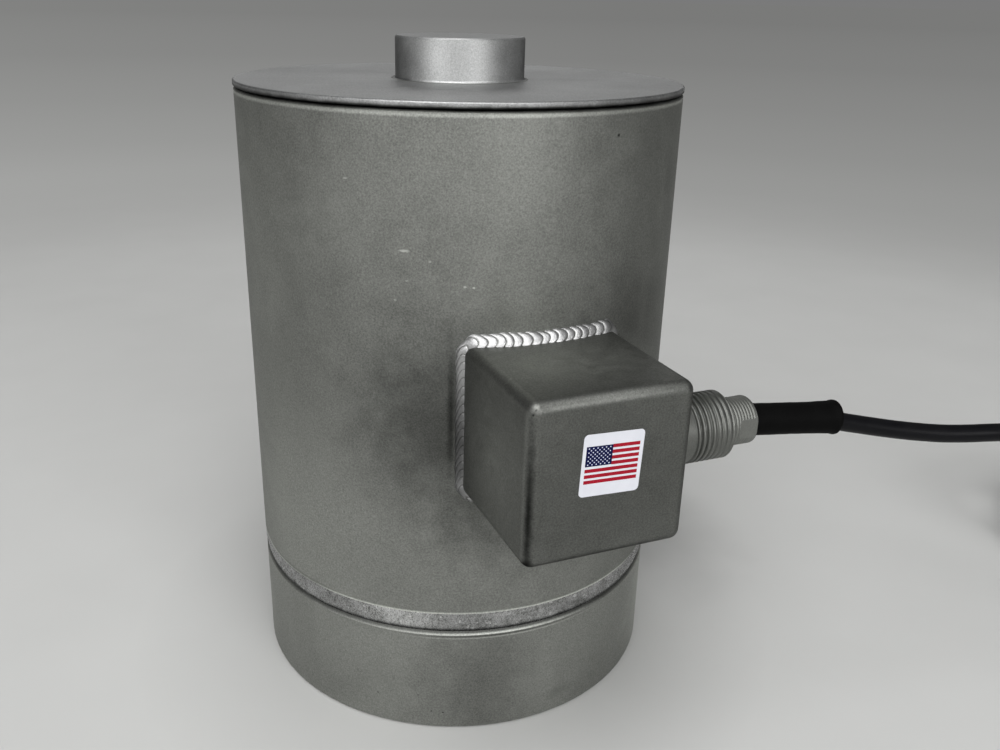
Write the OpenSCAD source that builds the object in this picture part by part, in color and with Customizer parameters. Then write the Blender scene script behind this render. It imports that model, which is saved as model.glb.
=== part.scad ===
// Column type compression load cell in a welded stainless can. The origin is the middle of the
// base's underside, +Z runs up the load axis, the junction box faces -Y and the cable leaves along +X.

/* [Casing] */
// Outside diameter of the casing tube
body_d = 152.4; // [146:0.1:160]
// Wall of the casing tube
casing_wall = 4; // [3:0.1:5]
// Length of the casing tube
casing_h = 164.1; // [158:0.1:175]
// Chamfer round the top of the casing tube
casing_chamfer = 0.65; // [0.2:0.05:1.2]

/* [Base] */
// Height of the base up to the shoulder under the weld
base_h = 41; // [38:0.1:45]
// How far the base's side stands in from the casing's
base_inset = 0.2; // [0.1:0.05:0.5]
// Width of the chamfer round the top of the base
base_chamfer = 0.9; // [0.4:0.05:1.1]
// Broken edge round the underside of the base
base_edge = 0.8; // [0.2:0.05:1.5]
// Height of the spigot that locates the casing tube
spigot_h = 15.2; // [12:0.1:20]
// Tap drill diameter of the thread in the middle of the underside
base_thread_d = 13.5; // [10:0.1:18]
// Depth of that threaded hole
base_thread_depth = 28; // [20:0.5:36]

/* [Column] */
// Diameter of the column below and above its gauged length
column_d = 50.8; // [50:0.1:53]
// Diameter of the turned neck that the gauge flats are milled on
neck_d = 48; // [46:0.1:49]
// Distance across the gauge flats
flats_across = 38.1; // [36:0.1:42]
// Length of the gauge flats
flats_h = 60; // [54:0.5:66]
// Fillet between the base and the column
column_fillet = 8; // [4:0.5:10]
// Diameter of the load button
button_d = 44.4; // [42:0.1:46]
// Height of the load button above the lid
button_h = 14.4; // [10:0.1:18]
// Radius of the spherical crown on the load button
crown_r = 430; // [350:5:600]
// Broken edge round the load button
button_edge = 0.5; // [0.2:0.05:1]

/* [Lid] */
// How far the lid's rim stands out past the casing tube
lid_overhang = 0.25; // [0.05:0.05:0.8]
// Thickness of the lid's rim
lid_t = 2.1; // [1.8:0.05:3]
// Open groove between the casing tube and the lid's rim
lid_groove = 0.45; // [0.3:0.05:0.8]
// Depth of the spigot under the lid
lid_spigot_h = 3.6; // [3:0.1:6]
// Thickness of the flexing web inside the lid
lid_web_t = 1.2; // [0.8:0.05:1.5]
// Width of the thick hub of the lid round the load button
lid_hub_w = 7; // [5:0.5:10]

/* [Guide] */
// How far the guide diaphragm lies below the top of the casing tube
guide_drop = 22.6; // [18:0.1:26]
// Thickness of the guide diaphragm
guide_t = 1.2; // [0.8:0.05:1.6]
// Radial width of the rings that hold the guide diaphragm
guide_ring_w = 6; // [4:0.5:8]
// Height of the ring under the guide diaphragm
guide_ring_h = 8; // [6:0.5:12]

/* [Junction box] */
// Width of the box, along X
box_w = 50.8; // [48:0.1:54]
// Height of the box
box_h = 50.4; // [47:0.1:53]
// How far the box's front stands out from the casing tube
box_depth = 44.3; // [42:0.1:47]
// Wall of the box
box_wall = 3.2; // [2.5:0.1:3.8]
// Rounding of the box's edges
box_edge = 3.4; // [2:0.1:4]
// Height of the middle of the box
box_z = 119.9; // [112:0.1:125]
// Leg of the fillet weld above and below the box
bead_leg = 3.2; // [2.6:0.1:5]
// Leg of the fillet weld beside the box
bead_side_leg = 2.1; // [1.8:0.1:4]
// Length of one ripple of the fillet weld
bead_pitch = 2.75; // [2.5:0.05:4]
// Height of one ripple of the fillet weld
bead_ripple = 0.35; // [0.1:0.05:0.6]

/* [Cable gland] */
// How far the gland's axis lies above the middle of the box
gland_rise = 0; // [-2:0.1:3]
// How far the gland's axis lies behind the front of the box
gland_setback = 20.7; // [18:0.1:23]
// Diameter of the hub's plain shank
shank_d = 20.2; // [18:0.1:21]
// Length of the hub's plain shank
shank_l = 10.1; // [8:0.05:13]
// Outside diameter of the conduit thread on the hub
thread_d = 21.34; // [20.5:0.02:22.5]
// Length of the conduit thread on the hub
thread_l = 13.15; // [11:0.05:16]
// Diameter of the screw that closes the gland
follower_d = 15.2; // [14.6:0.1:15.6]
// How far that screw stands out of the hub
follower_out = 10.35; // [9:0.05:12]
// Distance across the wrench flats of that screw
follower_flats = 13.6; // [13.2:0.1:14.4]
// Length of the rubber grommet
grommet_l = 7; // [5:0.1:8]
// Thickness of each thrust washer
washer_t = 0.8; // [0.5:0.05:1.2]

/* [Cable] */
// Outside diameter of the cable
cable_d = 6; // [5.8:0.1:6.1]
// Outside diameter of the sleeve where it leaves the gland
sleeve_d = 10; // [9.6:0.1:10.6]
// Length of the sleeve
sleeve_l = 34.4; // [32:0.1:38]
// How far the sleeve swings towards the front, in degrees
sleeve_swing = 8.5; // [7:0.5:10]
// How far the sleeve dips, in degrees
sleeve_dip = 3.3; // [2:0.1:5]

/* [Gauges and wiring] */
// Width of a strain gauge
gauge_w = 12; // [8:0.5:16]
// Height of a strain gauge
gauge_h = 16; // [12:0.5:20]
// Height of the posts that carry the bridge board
standoff_h = 27.8; // [24:0.1:32]
// Thickness of the bridge board
board_t = 1.6; // [1:0.1:2.4]
// Radius of the circle of the bridge board's screws
board_screw_r = 47; // [44:0.5:52]
// Diameter of the glass sealed header in the casing wall
header_d = 16.1; // [15:0.1:18]
// Diameter of the circle of header pins
pin_circle_d = 7.2; // [6.5:0.1:7.6]
// Diameter of a header pin
pin_d = 1; // [0.8:0.05:1.1]

/* [Sticker] */
// Width of the sticker
sticker_w = 18.7; // [16:0.1:22]
// Height of the sticker
sticker_h = 18.7; // [16:0.1:22]

/* [Hidden] */
$fn = 96;

// Gaps between mating pieces
fit_gap = 0.05;
seat_gap = 0.1;
loose_gap = 0.3;
// Overlap of a cutting body past the face that it cuts
cut = 1;

// Levels up the load axis
body_r = body_d / 2;
bore_r = body_r - casing_wall;
base_r = body_r - base_inset;
spigot_r = bore_r - fit_gap;
spigot_z = base_h + spigot_h;
girth_weld_h = 7.5;
casing_z = base_h + girth_weld_h;
casing_top = casing_z + casing_h;
lid_z = casing_top + lid_groove;
lid_top = lid_z + lid_t;
button_top = lid_top + button_h;
guide_z = casing_top - guide_drop;
gauge_z = (spigot_z + guide_z) / 2;
neck_blend = 4;
button_r = button_d / 2;
button_fillet = 0.8;
column_top_r = button_r + button_fillet;
lid_bore_r = column_top_r + fit_gap;

// Welds of the can
girth_root = 0.9;
girth_toe = 0.35;
girth_crown = 0.5;
girth_steps = 6;
seam_w = 2.4;
lid_web_blend = 1;
button_weld_w = 0.6;
button_weld_crown = 0.15;

// Junction box and the line where it meets the tube
box_front = -(body_r + box_depth);
bead_rings = 4;
bead_face = 3;
bead_flat = 0.15;
bead_bow = 0.3;
bead_straight_w = box_w / 2 - box_edge;
bead_straight_h = box_h / 2 - box_edge;
bead_corner = PI / 2 * box_edge;
bead_length = 4 * (bead_straight_w + bead_straight_h + bead_corner);
bead_count = round(bead_length / bead_pitch);
bead_steps = bead_count * bead_rings;

// Stations along the gland, measured along X
gland_y = box_front + gland_setback;
gland_z = box_z + gland_rise;
box_side = box_w / 2;
box_inside = box_side - box_wall;
spigot_in = 1.5;
hub_weld_leg = 1.4;
hub_shoulder = 0.6;
hub_spigot_r = shank_d / 2 - hub_shoulder;
thread_x = box_side + shank_l;
hub_end = thread_x + thread_l;
hub_chamfer = 0.8;
chamber_r = 6;
hub_floor = 4.6;
chamber_x = box_side + hub_floor;
follower_x = chamber_x + grommet_l + 2 * washer_t;
follower_end = hub_end + follower_out;
follower_flats_l = 6.8;
follower_chamfer = 0.5;
mouth_l = 7.85;
mouth_r = 5.9;
cable_r = cable_d / 2;
cable_hole_r = cable_r + loose_gap;

// Sleeve over the cable where it leaves the gland
sleeve_in = 2.35;
sleeve_x = follower_end - sleeve_in;
sleeve_grip_l = 14;
sleeve_flare_l = 24;
sleeve_slack = 0.25;
sleeve_bore_r = cable_r + sleeve_slack;
sleeve_mouth_r = 4.6;
sleeve_end_r = 5.3;
sleeve_lip_r = 5.65;
sleeve_lip_l = 4.5;

// Cable inside the can
inlet_x = 8;
inlet_gap = 2.9;
inlet_end = sleeve_x - inlet_gap;
collar_l = 6;
collar_r = 5;
collar_groove = 0.8;
conductor_r = 0.65;
conductor_circle = 1.7;
wire_stub = 1;

// Gauges on the column
gauge_t = 0.3;
gauge_pad_h = 4;
gauge_pad_w = 9;
gauge_pad_t = 0.6;
gauge_pad_gap = 5;
jumper_r = 0.2;
jumper_x = 2.2;
jumper_lap = 1;
lead_r = 0.45;
lead_drop = 9;
lead_rise = 12;

// Bridge board and what stands on it
board_z = spigot_z + standoff_h;
board_top = board_z + board_t;
board_r = 62;
board_gap = 3.6;
board_hole_r = column_d / 2 + board_gap;
screw_r = 1.45;
screw_l = 8;
screw_head_r = 2.8;
screw_head_h = 2;
screw_slot = 0.8;
stud_r = 1.5;
stud_l = 7;
standoff_af = 5.5;
screw_angles = [90, 210, 330];
post_r = 0.6;
post_h = 3;
post_foot_r = 1.1;
post_foot_h = 0.5;
inner_post_r = 36;
outer_post_r = 52;
outer_post_step = 4;
resistor_angles = [15, 45, 125, 150, 240, 300];
resistor_r = 52;
resistor_body_r = 1.2;
resistor_body_l = 6.5;
resistor_span = 10;
resistor_wire_r = 0.35;

// Glass sealed header
header_r = header_d / 2;
header_wall = 2;
header_bore_r = header_r - header_wall;
header_flange_w = 1.5;
header_flange_r = header_r + header_flange_w;
header_flange_t = 1.5;
header_in = 2;
header_out = 2.5;
pin_count = 5;
post_of_pin = [2, 0, 1, 3, 4];
pin_r = pin_d / 2;
pin_in = 10;
pin_out = 7;
conductor_straight = 4.5;
conductor_reach = 9;
harness_rise = 14;
harness_reach = 12;
conductor_sleeve_r = 1.2;
conductor_sleeve_l = 7;
conductor_sleeve_y = -body_r - pin_out - conductor_straight + fit_gap + conductor_sleeve_l;

// Sticker
sticker_t = 0.15;
sticker_corner = 1.3;
sticker_x = -0.3;
sticker_rise = 4.6;
sticker_turn = 2.6;

// Free cable: its route, chosen by hand, from inside the gland to the coil
CABLE_ROUTE = [
    [inlet_end, gland_y, gland_z], [sleeve_x, gland_y, gland_z],
    [61.2, -100.4, 119.6], [70.5, -101.8, 119], [80.5, -103.3, 118.1], [88.5, -104.4, 116.9],
    [95.8, -105.5, 115.3], [104.7, -107.3, 113.4], [113.3, -109.4, 111.8], [121.7, -111.7, 110.6],
    [129.7, -114.2, 109.9], [137.7, -116.8, 109.8], [145.5, -119.3, 110], [154.4, -121.5, 109.6],
    [166.4, -123.4, 107.3], [179, -124.7, 101.5], [191.5, -125.6, 92.3], [203, -126, 80.3],
    [214, -126, 65.5], [224, -126, 49.5], [234, -126, 33.5], [244.5, -126, 20],
    [257, -126, 9.6], [271, -126, 4.4], [285, -126, 3.2], [299, -126, 3.2], [312, -126, 3.2]
];
CABLE_SIDES = 10;
WIRE_SIDES = 6;

// Coil: rows of turns beside and on each other, and what lies on it
coil_columns = 4;
coil_rows = 6;
turn_step = cable_d + seat_gap;
coil_mid_r = 37.2;
coil_half_w = (coil_columns - 1) / 2 * turn_step + cable_r + seat_gap;
coil_base = 1.4;
coil_h = (coil_rows - 1) * turn_step + cable_d + 2 * seat_gap;
coil_top = coil_base + coil_h;
coil_edge = 2.8;
coil_start = CABLE_ROUTE[len(CABLE_ROUTE) - 1];
coil_at = [coil_start.x, coil_start.y + cable_r + 2 * seat_gap + coil_mid_r + coil_half_w];
tie_w = 4.8;
tie_t = 1.1;
tie_gap = 0.15;
tie_head = [7, 6, 4.2];
tie_angles = [92, 242];
tail_from = -35;
tail_to = -10;
tail_sleeve_r = 3.8;
tail_z = coil_top + tail_sleeve_r + seat_gap;
tail_sleeve_to = 19;
tail_lead_r = 0.7;
tail_lead_step = 1.5;
tail_lead_count = 5;
tail_lead_to = 64;
tail_lead_stagger = 3;
tail_tip_r = 0.5;
tail_tip_angle = 8;

// Colours
STEEL = [0.56, 0.56, 0.55];
BRIGHT_STEEL = [0.74, 0.74, 0.73];
WELD_STEEL = [0.82, 0.82, 0.81];
BOX_STEEL = [0.47, 0.46, 0.44];
BLACK_RUBBER = [0.06, 0.06, 0.07];
WHITE_PAPER = [0.93, 0.93, 0.95];
GOLD_PIN = [0.83, 0.68, 0.34];
GREEN_BOARD = [0.1, 0.36, 0.2];
AMBER_FOIL = [0.8, 0.55, 0.25];
CLEAR_GLASS = [0.35, 0.5, 0.45];
LEAD_COLOURS = [[0.75, 0.08, 0.07], [0.05, 0.05, 0.05], [0.9, 0.9, 0.88], [0.1, 0.5, 0.2], [0.9, 0.75, 0.1]];

// Tube or wire swept along points as one polyhedron: each ring lies square to the route there
function unit(v) = v / norm(v);
function heading(path, i) = unit(path[min(i + 1, len(path) - 1)] - path[max(i - 1, 0)]);
function side_of(h) = unit(cross(abs(h.z) < 0.9 ? [0, 0, 1] : [1, 0, 0], h));
function next_side(s, h) = unit(s - (s * h) * h);
function sides_along(path) = [
    for (i = 0, s = side_of(heading(path, 0)); i < len(path);
         i = i + 1, s = i < len(path) ? next_side(s, heading(path, i)) : s) s
];

module swept(path, r, sides) {
    across = sides_along(path);
    points = [
        for (i = [0 : len(path) - 1], k = [0 : sides - 1])
            let (h = heading(path, i), a = 360 * k / sides)
            path[i] + r * (cos(a) * across[i] + sin(a) * cross(h, across[i]))
    ];
    walls = [
        for (i = [0 : len(path) - 2], k = [0 : sides - 1])
            let (a = i * sides + k, b = i * sides + (k + 1) % sides)
            each [[a, b + sides, b], [a, a + sides, b + sides]]
    ];
    last = (len(path) - 1) * sides;
    start = [for (k = [0 : sides - 1]) k];
    end = [for (k = [sides - 1 : -1 : 0]) last + k];
    polyhedron(points, concat(walls, [start, end]), convexity = 6);
}

function bezier(a, b, c, d, steps) = [
    for (i = [0 : steps])
        let (t = i / steps, u = 1 - t)
        u * u * u * a + 3 * u * u * t * b + 3 * u * t * t * c + t * t * t * d
];

// Path of a wire that leaves a by way of its handle and comes to b by way of b's, straight at both ends
function wire_path(a, a_handle, b, b_handle, steps) = concat(
    [a],
    bezier(a + wire_stub * unit(a_handle), a + a_handle, b + b_handle, b + wire_stub * unit(b_handle), steps),
    [b]
);

// Solid of revolution about Z from an outline of [radius, height] points
module turned(outline) {
    rotate_extrude() polygon(outline);
}

// Places its children on the gland's axis: their +Z becomes +X, and 0 is the load axis' plane
module on_gland_axis() {
    translate([0, gland_y, gland_z]) rotate([0, 90, 0]) children();
}

// Places its children on the header's axis: their +Z becomes -Y
module on_header_axis() {
    translate([0, 0, box_z]) rotate([90, 0, 0]) children();
}

// Places its children on each gauge flat, with their +X pointing out of it
module on_each_flat() {
    for (a = [0 : 90 : 270]) rotate([0, 0, a]) children();
}

// Base, column and load button, turned and milled from one bar
module load_column() {
    neck_bottom = gauge_z - flats_h / 2 - neck_blend;
    neck_top = gauge_z + flats_h / 2 + neck_blend;
    crown_drop = crown_r - sqrt(crown_r * crown_r - pow(button_r - button_edge, 2));
    fillet = [
        for (a = [0 : 15 : 90])
            [column_d / 2 + column_fillet * (1 - sin(a)), spigot_z + column_fillet * (1 - cos(a))]
    ];
    foot = [
        for (a = [0 : 15 : 90])
            [button_r + button_fillet * (1 - sin(a)), lid_top + button_fillet * (1 - cos(a))]
    ];
    crown = [
        for (i = [0 : 8])
            let (r = (button_r - button_edge) * (1 - i / 8))
            [r, button_top - crown_r + sqrt(crown_r * crown_r - r * r)]
    ];
    color(STEEL)
    difference() {
        turned(concat(
            [[0, 0], [base_r - base_edge, 0], [base_r, base_edge]],
            [[base_r, base_h - 1.5 * base_chamfer], [base_r - base_chamfer, base_h]],
            [[spigot_r, base_h], [spigot_r, spigot_z]],
            fillet,
            [[column_d / 2, neck_bottom], [neck_d / 2, neck_bottom + neck_blend]],
            [[neck_d / 2, neck_top - neck_blend], [column_d / 2, neck_top]],
            [[column_d / 2, guide_z], [column_top_r, guide_z]],
            foot,
            [[button_r, button_top - crown_drop - button_edge]],
            crown
        ));
        translate([0, 0, -cut]) cylinder(d = base_thread_d, h = base_thread_depth + cut);
        on_each_flat() {
            translate([flats_across / 2, -neck_d / 2, gauge_z - flats_h / 2])
                cube([neck_d, neck_d, flats_h]);
        }
        for (a = screw_angles) {
            rotate([0, 0, a]) translate([board_screw_r, 0, spigot_z - stud_l - cut])
                cylinder(r = stud_r + fit_gap, h = stud_l + 2 * cut, $fn = 32);
        }
    }
}

// Outer tube, with the hole for the glass sealed header
module casing_tube() {
    color(STEEL)
    difference() {
        turned([
            [bore_r, casing_z], [body_r, casing_z], [body_r, casing_top - casing_chamfer],
            [body_r - casing_chamfer, casing_top], [bore_r, casing_top]
        ]);
        on_header_axis() translate([0, 0, bore_r / 2]) cylinder(r = header_r + fit_gap, h = body_r);
    }
}

// Lid: a rim, a thin web that flexes, and a hub that fits round the load button
module top_lid() {
    edge = lid_t / 3;
    lid_r = body_r + lid_overhang;
    web_in = lid_bore_r + lid_hub_w;
    web_out = spigot_r - 2 * lid_spigot_h;
    web_z = lid_top - lid_web_t;
    rim = [
        for (a = [-90 : 15 : 90])
            [lid_r - edge + edge * cos(a), (a > 0 ? lid_top - edge : lid_z + edge) + edge * sin(a)]
    ];
    color(STEEL)
    turned(concat(
        [[lid_bore_r + button_weld_w, lid_top], [lid_bore_r, lid_top - button_weld_w]],
        [[lid_bore_r, lid_z], [web_in, lid_z], [web_in + lid_web_blend, web_z]],
        [[web_out, web_z], [web_out + lid_web_blend, lid_z - lid_spigot_h], [spigot_r, lid_z - lid_spigot_h]],
        [[spigot_r, lid_z]],
        rim
    ));
}

// Recessed weld in the groove between the casing tube and the lid
module lid_seam_weld() {
    seam_r = bore_r + fit_gap;
    color(WELD_STEEL)
    turned([
        [seam_r, casing_top], [seam_r + seam_w - lid_groove / 3, casing_top],
        [seam_r + seam_w, casing_top + lid_groove / 2],
        [seam_r + seam_w - lid_groove / 3, lid_z], [seam_r, lid_z]
    ]);
}

// Fine weld in the chamfer of the lid's bore, round the foot of the load button
module button_weld() {
    color(BRIGHT_STEEL)
    turned([
        [lid_bore_r, lid_top - button_weld_w], [lid_bore_r + button_weld_w, lid_top],
        [lid_bore_r + button_weld_w / 2, lid_top + button_weld_crown],
        [lid_bore_r, lid_top + button_weld_crown / 2]
    ]);
}

// Weld that joins the casing tube to the base: it lies a little below both
module base_girth_weld() {
    crown = [
        for (i = [0 : girth_steps])
            let (t = i / girth_steps)
            [body_r - girth_root + (girth_root - girth_toe) * t + girth_crown * sin(180 * t) / 2,
             base_h + girth_weld_h * t]
    ];
    color(WELD_STEEL)
    turned(concat([[bore_r + fit_gap, casing_z], [bore_r + fit_gap, base_h]], crown));
}

// Thin disc that keeps the column upright in the can
module guide_diaphragm() {
    color(BRIGHT_STEEL)
    turned([
        [lid_bore_r, guide_z], [spigot_r, guide_z],
        [spigot_r, guide_z + guide_t], [lid_bore_r, guide_z + guide_t]
    ]);
}

module guide_ring(low, high) {
    color(STEEL)
    turned([
        [bore_r - fit_gap - guide_ring_w, low], [bore_r - fit_gap, low],
        [bore_r - fit_gap, high], [bore_r - fit_gap - guide_ring_w, high]
    ]);
}

module guide_support_ring() {
    guide_ring(guide_z - guide_ring_h, guide_z);
}

module guide_clamp_ring() {
    guide_ring(guide_z + guide_t, lid_z - lid_spigot_h);
}

// Places its children at the four long edges of the box, seen along Y
module at_box_corners(inset) {
    for (x = [-1, 1], z = [-1, 1]) {
        translate([x * (box_w / 2 - inset), 0, box_z + z * (box_h / 2 - inset)]) children();
    }
}

// Box with rounded edges, open to the tube, its back cut to the tube's saddle
module junction_box() {
    root_y = -body_r / 2;
    color(BOX_STEEL)
    difference() {
        hull() {
            at_box_corners(box_edge) {
                translate([0, box_front + box_edge, 0]) sphere(r = box_edge, $fn = 32);
                translate([0, root_y, 0]) rotate([90, 0, 0]) cylinder(r = box_edge, h = cut, $fn = 32);
            }
        }
        translate([-box_inside, box_front + box_wall, box_z - box_h / 2 + box_wall])
            cube([2 * box_inside, body_r, box_h - 2 * box_wall]);
        translate([0, 0, box_z - box_h]) cylinder(r = body_r + seat_gap, h = 2 * box_h, $fn = 180);
        on_gland_axis() translate([0, 0, box_inside - cut])
            cylinder(r = hub_spigot_r + fit_gap, h = box_wall + 2 * cut);
    }
}

// Point of the box's outline at length s along it, as [x, z, normal x, normal z] about its middle
function quarter_turned(k, a, b) = k == 0 ? [a, b] : k == 1 ? [-b, a] : k == 2 ? [-a, -b] : [b, -a];
function outline_at(s, k = 0) =
    let (
        along = k % 2 == 0 ? bead_straight_h : bead_straight_w,
        out = k % 2 == 0 ? bead_straight_w : bead_straight_h,
        turn = (s - 2 * along) / bead_corner * 90
    )
    s >= 2 * along + bead_corner && k < 3 ? outline_at(s - 2 * along - bead_corner, k + 1) :
    turn <= 0 ? concat(quarter_turned(k, out + box_edge, s - along), quarter_turned(k, 1, 0)) :
    concat(
        quarter_turned(k, out + box_edge * cos(turn), along + box_edge * sin(turn)),
        quarter_turned(k, cos(turn), sin(turn))
    );

// Point u out from the box's wall and v out from the tube, at length s along the weld
function saddle_point(s, u, v) =
    let (o = outline_at(s), x = o[0] + u * o[2], r = body_r + v)
    [x, -sqrt(r * r - x * x), box_z + o[1] + u * o[3]];

// Reach of the weld's face from its root, at length s and angle a: each ripple is a bowed lobe
function bead_reach(s, a) =
    let (
        phase = s / bead_length * bead_count + bead_bow * sin(2 * a),
        lobe = abs(sin(180 * phase)),
        leg = bead_side_leg + (bead_leg - bead_side_leg) * abs(outline_at(s)[3])
    )
    leg * (1 - bead_flat * sin(2 * a)) + bead_ripple * lobe * (0.4 + 0.6 * sin(2 * a));

function bead_ring(s) = concat(
    [saddle_point(s, fit_gap, fit_gap)],
    [
        for (j = [0 : bead_face])
            let (a = 90 * j / bead_face, reach = bead_reach(s, a))
            saddle_point(s, fit_gap + reach * cos(a), fit_gap + reach * sin(a))
    ]
);

// Fillet weld round the box on its saddle seam: a closed sweep of overlapping ripples
module box_fillet_weld() {
    ring_size = bead_face + 2;
    points = [for (i = [0 : bead_steps - 1]) each bead_ring(bead_length * i / bead_steps)];
    faces = [
        for (i = [0 : bead_steps - 1], k = [0 : ring_size - 1])
            let (
                j = (i + 1) % bead_steps,
                a = i * ring_size + k,
                b = i * ring_size + (k + 1) % ring_size,
                c = j * ring_size + k,
                d = j * ring_size + (k + 1) % ring_size
            )
            each [[a, d, b], [a, c, d]]
    ];
    color(WELD_STEEL)
    polyhedron(points, faces, convexity = 8);
}

// Slab with rounded corners, w across and h high, on the XY plane
module rounded_slab(w, h, t, r) {
    linear_extrude(t) {
        square([w - 2 * r, h], center = true);
        square([w, h - 2 * r], center = true);
        for (x = [-1, 1], y = [-1, 1]) translate([x * (w / 2 - r), y * (h / 2 - r)]) circle(r, $fn = 32);
    }
}

module box_sticker() {
    color(WHITE_PAPER)
    translate([sticker_x, box_front, box_z + sticker_rise]) rotate([90, sticker_turn, 0])
        rounded_slab(sticker_w, sticker_h, sticker_t, sticker_corner);
}

// Hub of the gland: a spigot through the box's wall, a plain shank and the conduit thread's blank
module conduit_hub() {
    color(BRIGHT_STEEL)
    on_gland_axis()
    turned([
        [cable_hole_r, box_inside - spigot_in], [hub_spigot_r, box_inside - spigot_in],
        [hub_spigot_r, box_side], [shank_d / 2, box_side], [shank_d / 2, thread_x - hub_chamfer],
        [thread_d / 2, thread_x], [thread_d / 2, hub_end - hub_chamfer], [thread_d / 2 - hub_chamfer, hub_end],
        [follower_d / 2 + fit_gap, hub_end], [follower_d / 2 + fit_gap, follower_x],
        [chamber_r, follower_x], [chamber_r, chamber_x], [cable_hole_r, chamber_x]
    ]);
}

// Fillet weld that holds the hub on the inside of the box
module hub_weld() {
    inner = hub_spigot_r + fit_gap;
    low = box_inside - fit_gap;
    color(WELD_STEEL)
    on_gland_axis()
    turned([[inner, low], [inner, low - hub_weld_leg], [inner + hub_weld_leg, low]]);
}

module gland_washers() {
    color(BRIGHT_STEEL)
    on_gland_axis()
    for (x = [chamber_x, chamber_x + washer_t + grommet_l]) {
        translate([0, 0, x]) difference() {
            cylinder(r = chamber_r - fit_gap, h = washer_t);
            translate([0, 0, -cut]) cylinder(r = cable_hole_r, h = washer_t + 2 * cut);
        }
    }
}

module gland_grommet() {
    bulge = 0.4;
    low = chamber_x + washer_t;
    color(BLACK_RUBBER)
    on_gland_axis()
    turned([
        [cable_r + fit_gap, low], [chamber_r - fit_gap - bulge, low],
        [chamber_r - fit_gap, low + grommet_l / 2],
        [chamber_r - fit_gap - bulge, low + grommet_l], [cable_r + fit_gap, low + grommet_l]
    ]);
}

// Screw that squeezes the grommet: its outer end has two wrench flats and a mouth for the sleeve
module gland_follower() {
    r = follower_d / 2;
    color(BRIGHT_STEEL)
    on_gland_axis()
    difference() {
        turned([
            [cable_hole_r, follower_x], [r - follower_chamfer, follower_x], [r, follower_x + follower_chamfer],
            [r, follower_end - follower_chamfer], [r - follower_chamfer, follower_end],
            [mouth_r, follower_end], [mouth_r, follower_end - mouth_l], [cable_hole_r, follower_end - mouth_l]
        ]);
        for (side = [0, 180]) {
            rotate([0, 0, side]) translate([-r, follower_flats / 2, follower_end - follower_flats_l])
                cube([2 * r, r, follower_flats_l + cut]);
        }
    }
}

// Shrunk sleeve: tight on the cable in the gland's mouth, wide at its own, with a rolled lip
module cable_sleeve() {
    r = sleeve_d / 2;
    lip_z = sleeve_l - sleeve_lip_l;
    lip = [
        for (a = [0 : 20 : 180])
            let (drawn_in = a > 90 ? (sleeve_end_r - sleeve_mouth_r) * (1 - sin(a)) : 0)
            [sleeve_end_r + (sleeve_lip_r - sleeve_end_r) * sin(a) - drawn_in,
             lip_z + sleeve_lip_l * (1 - cos(a)) / 2]
    ];
    color(BLACK_RUBBER)
    translate([sleeve_x, gland_y, gland_z]) rotate([0, 90 + sleeve_dip, -sleeve_swing])
    turned(concat(
        [[sleeve_bore_r, 0], [r, 0]],
        lip,
        [[sleeve_mouth_r, lip_z], [sleeve_mouth_r, sleeve_flare_l], [sleeve_bore_r, sleeve_grip_l]]
    ));
}

// Jacketed end of the cable inside the gland and the box
module cable_inlet() {
    color(BLACK_RUBBER)
    on_gland_axis() translate([0, 0, inlet_x]) cylinder(r = cable_r, h = inlet_end - inlet_x);
}

// Ring crimped on the cable behind the hub, so that a pull can't draw the cable out
module crimp_collar() {
    low = box_inside - spigot_in - collar_l;
    color(GOLD_PIN)
    on_gland_axis()
    turned([
        [cable_r + fit_gap, low], [collar_r, low], [collar_r, low + collar_l / 4],
        [collar_r - collar_groove, low + collar_l / 2], [collar_r, low + 3 * collar_l / 4],
        [collar_r, low + collar_l], [cable_r + fit_gap, low + collar_l]
    ]);
}

module strain_gauges() {
    color(AMBER_FOIL)
    on_each_flat()
        translate([flats_across / 2, -gauge_w / 2, gauge_z - gauge_h / 2]) cube([gauge_t, gauge_w, gauge_h]);
}

// Solder pads under each gauge
gauge_pad_z = gauge_z - gauge_h / 2 - gauge_pad_gap;
module gauge_terminals() {
    color(GOLD_PIN)
    on_each_flat()
        translate([flats_across / 2, -gauge_pad_w / 2, gauge_pad_z - gauge_pad_h])
            cube([gauge_pad_t, gauge_pad_w, gauge_pad_h]);
}

// Bare wires from each gauge down to its solder pads
module gauge_jumpers() {
    color(BRIGHT_STEEL)
    on_each_flat() for (y = [-1, 1]) {
        translate([flats_across / 2 + gauge_pad_t + jumper_r, y * jumper_x, gauge_pad_z - jumper_lap])
            cylinder(r = jumper_r, h = gauge_pad_gap + 2 * jumper_lap, $fn = 16);
    }
}

// Insulated wires from the solder pads down to the bridge board
module gauge_leads() {
    start_x = flats_across / 2 + gauge_pad_t + lead_r;
    start_z = gauge_pad_z - gauge_pad_h / 2;
    end_z = board_top + post_h;
    color(LEAD_COLOURS[0])
    on_each_flat() for (y = [-1, 1]) {
        swept(
            wire_path(
                [start_x, y * jumper_x, start_z], [0, 0, -lead_drop],
                [inner_post_r, y * 2 * jumper_x, end_z], [0, 0, lead_rise], 8
            ),
            lead_r, WIRE_SIDES
        );
    }
}

// Ring shaped board round the column
module bridge_board() {
    color(GREEN_BOARD)
    difference() {
        translate([0, 0, board_z]) cylinder(r = board_r, h = board_t);
        translate([0, 0, board_z - cut]) cylinder(r = board_hole_r, h = board_t + 2 * cut);
        for (a = screw_angles) {
            rotate([0, 0, a]) translate([board_screw_r, 0, board_z - cut])
                cylinder(r = screw_r + seat_gap, h = board_t + 2 * cut, $fn = 32);
        }
    }
}

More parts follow.
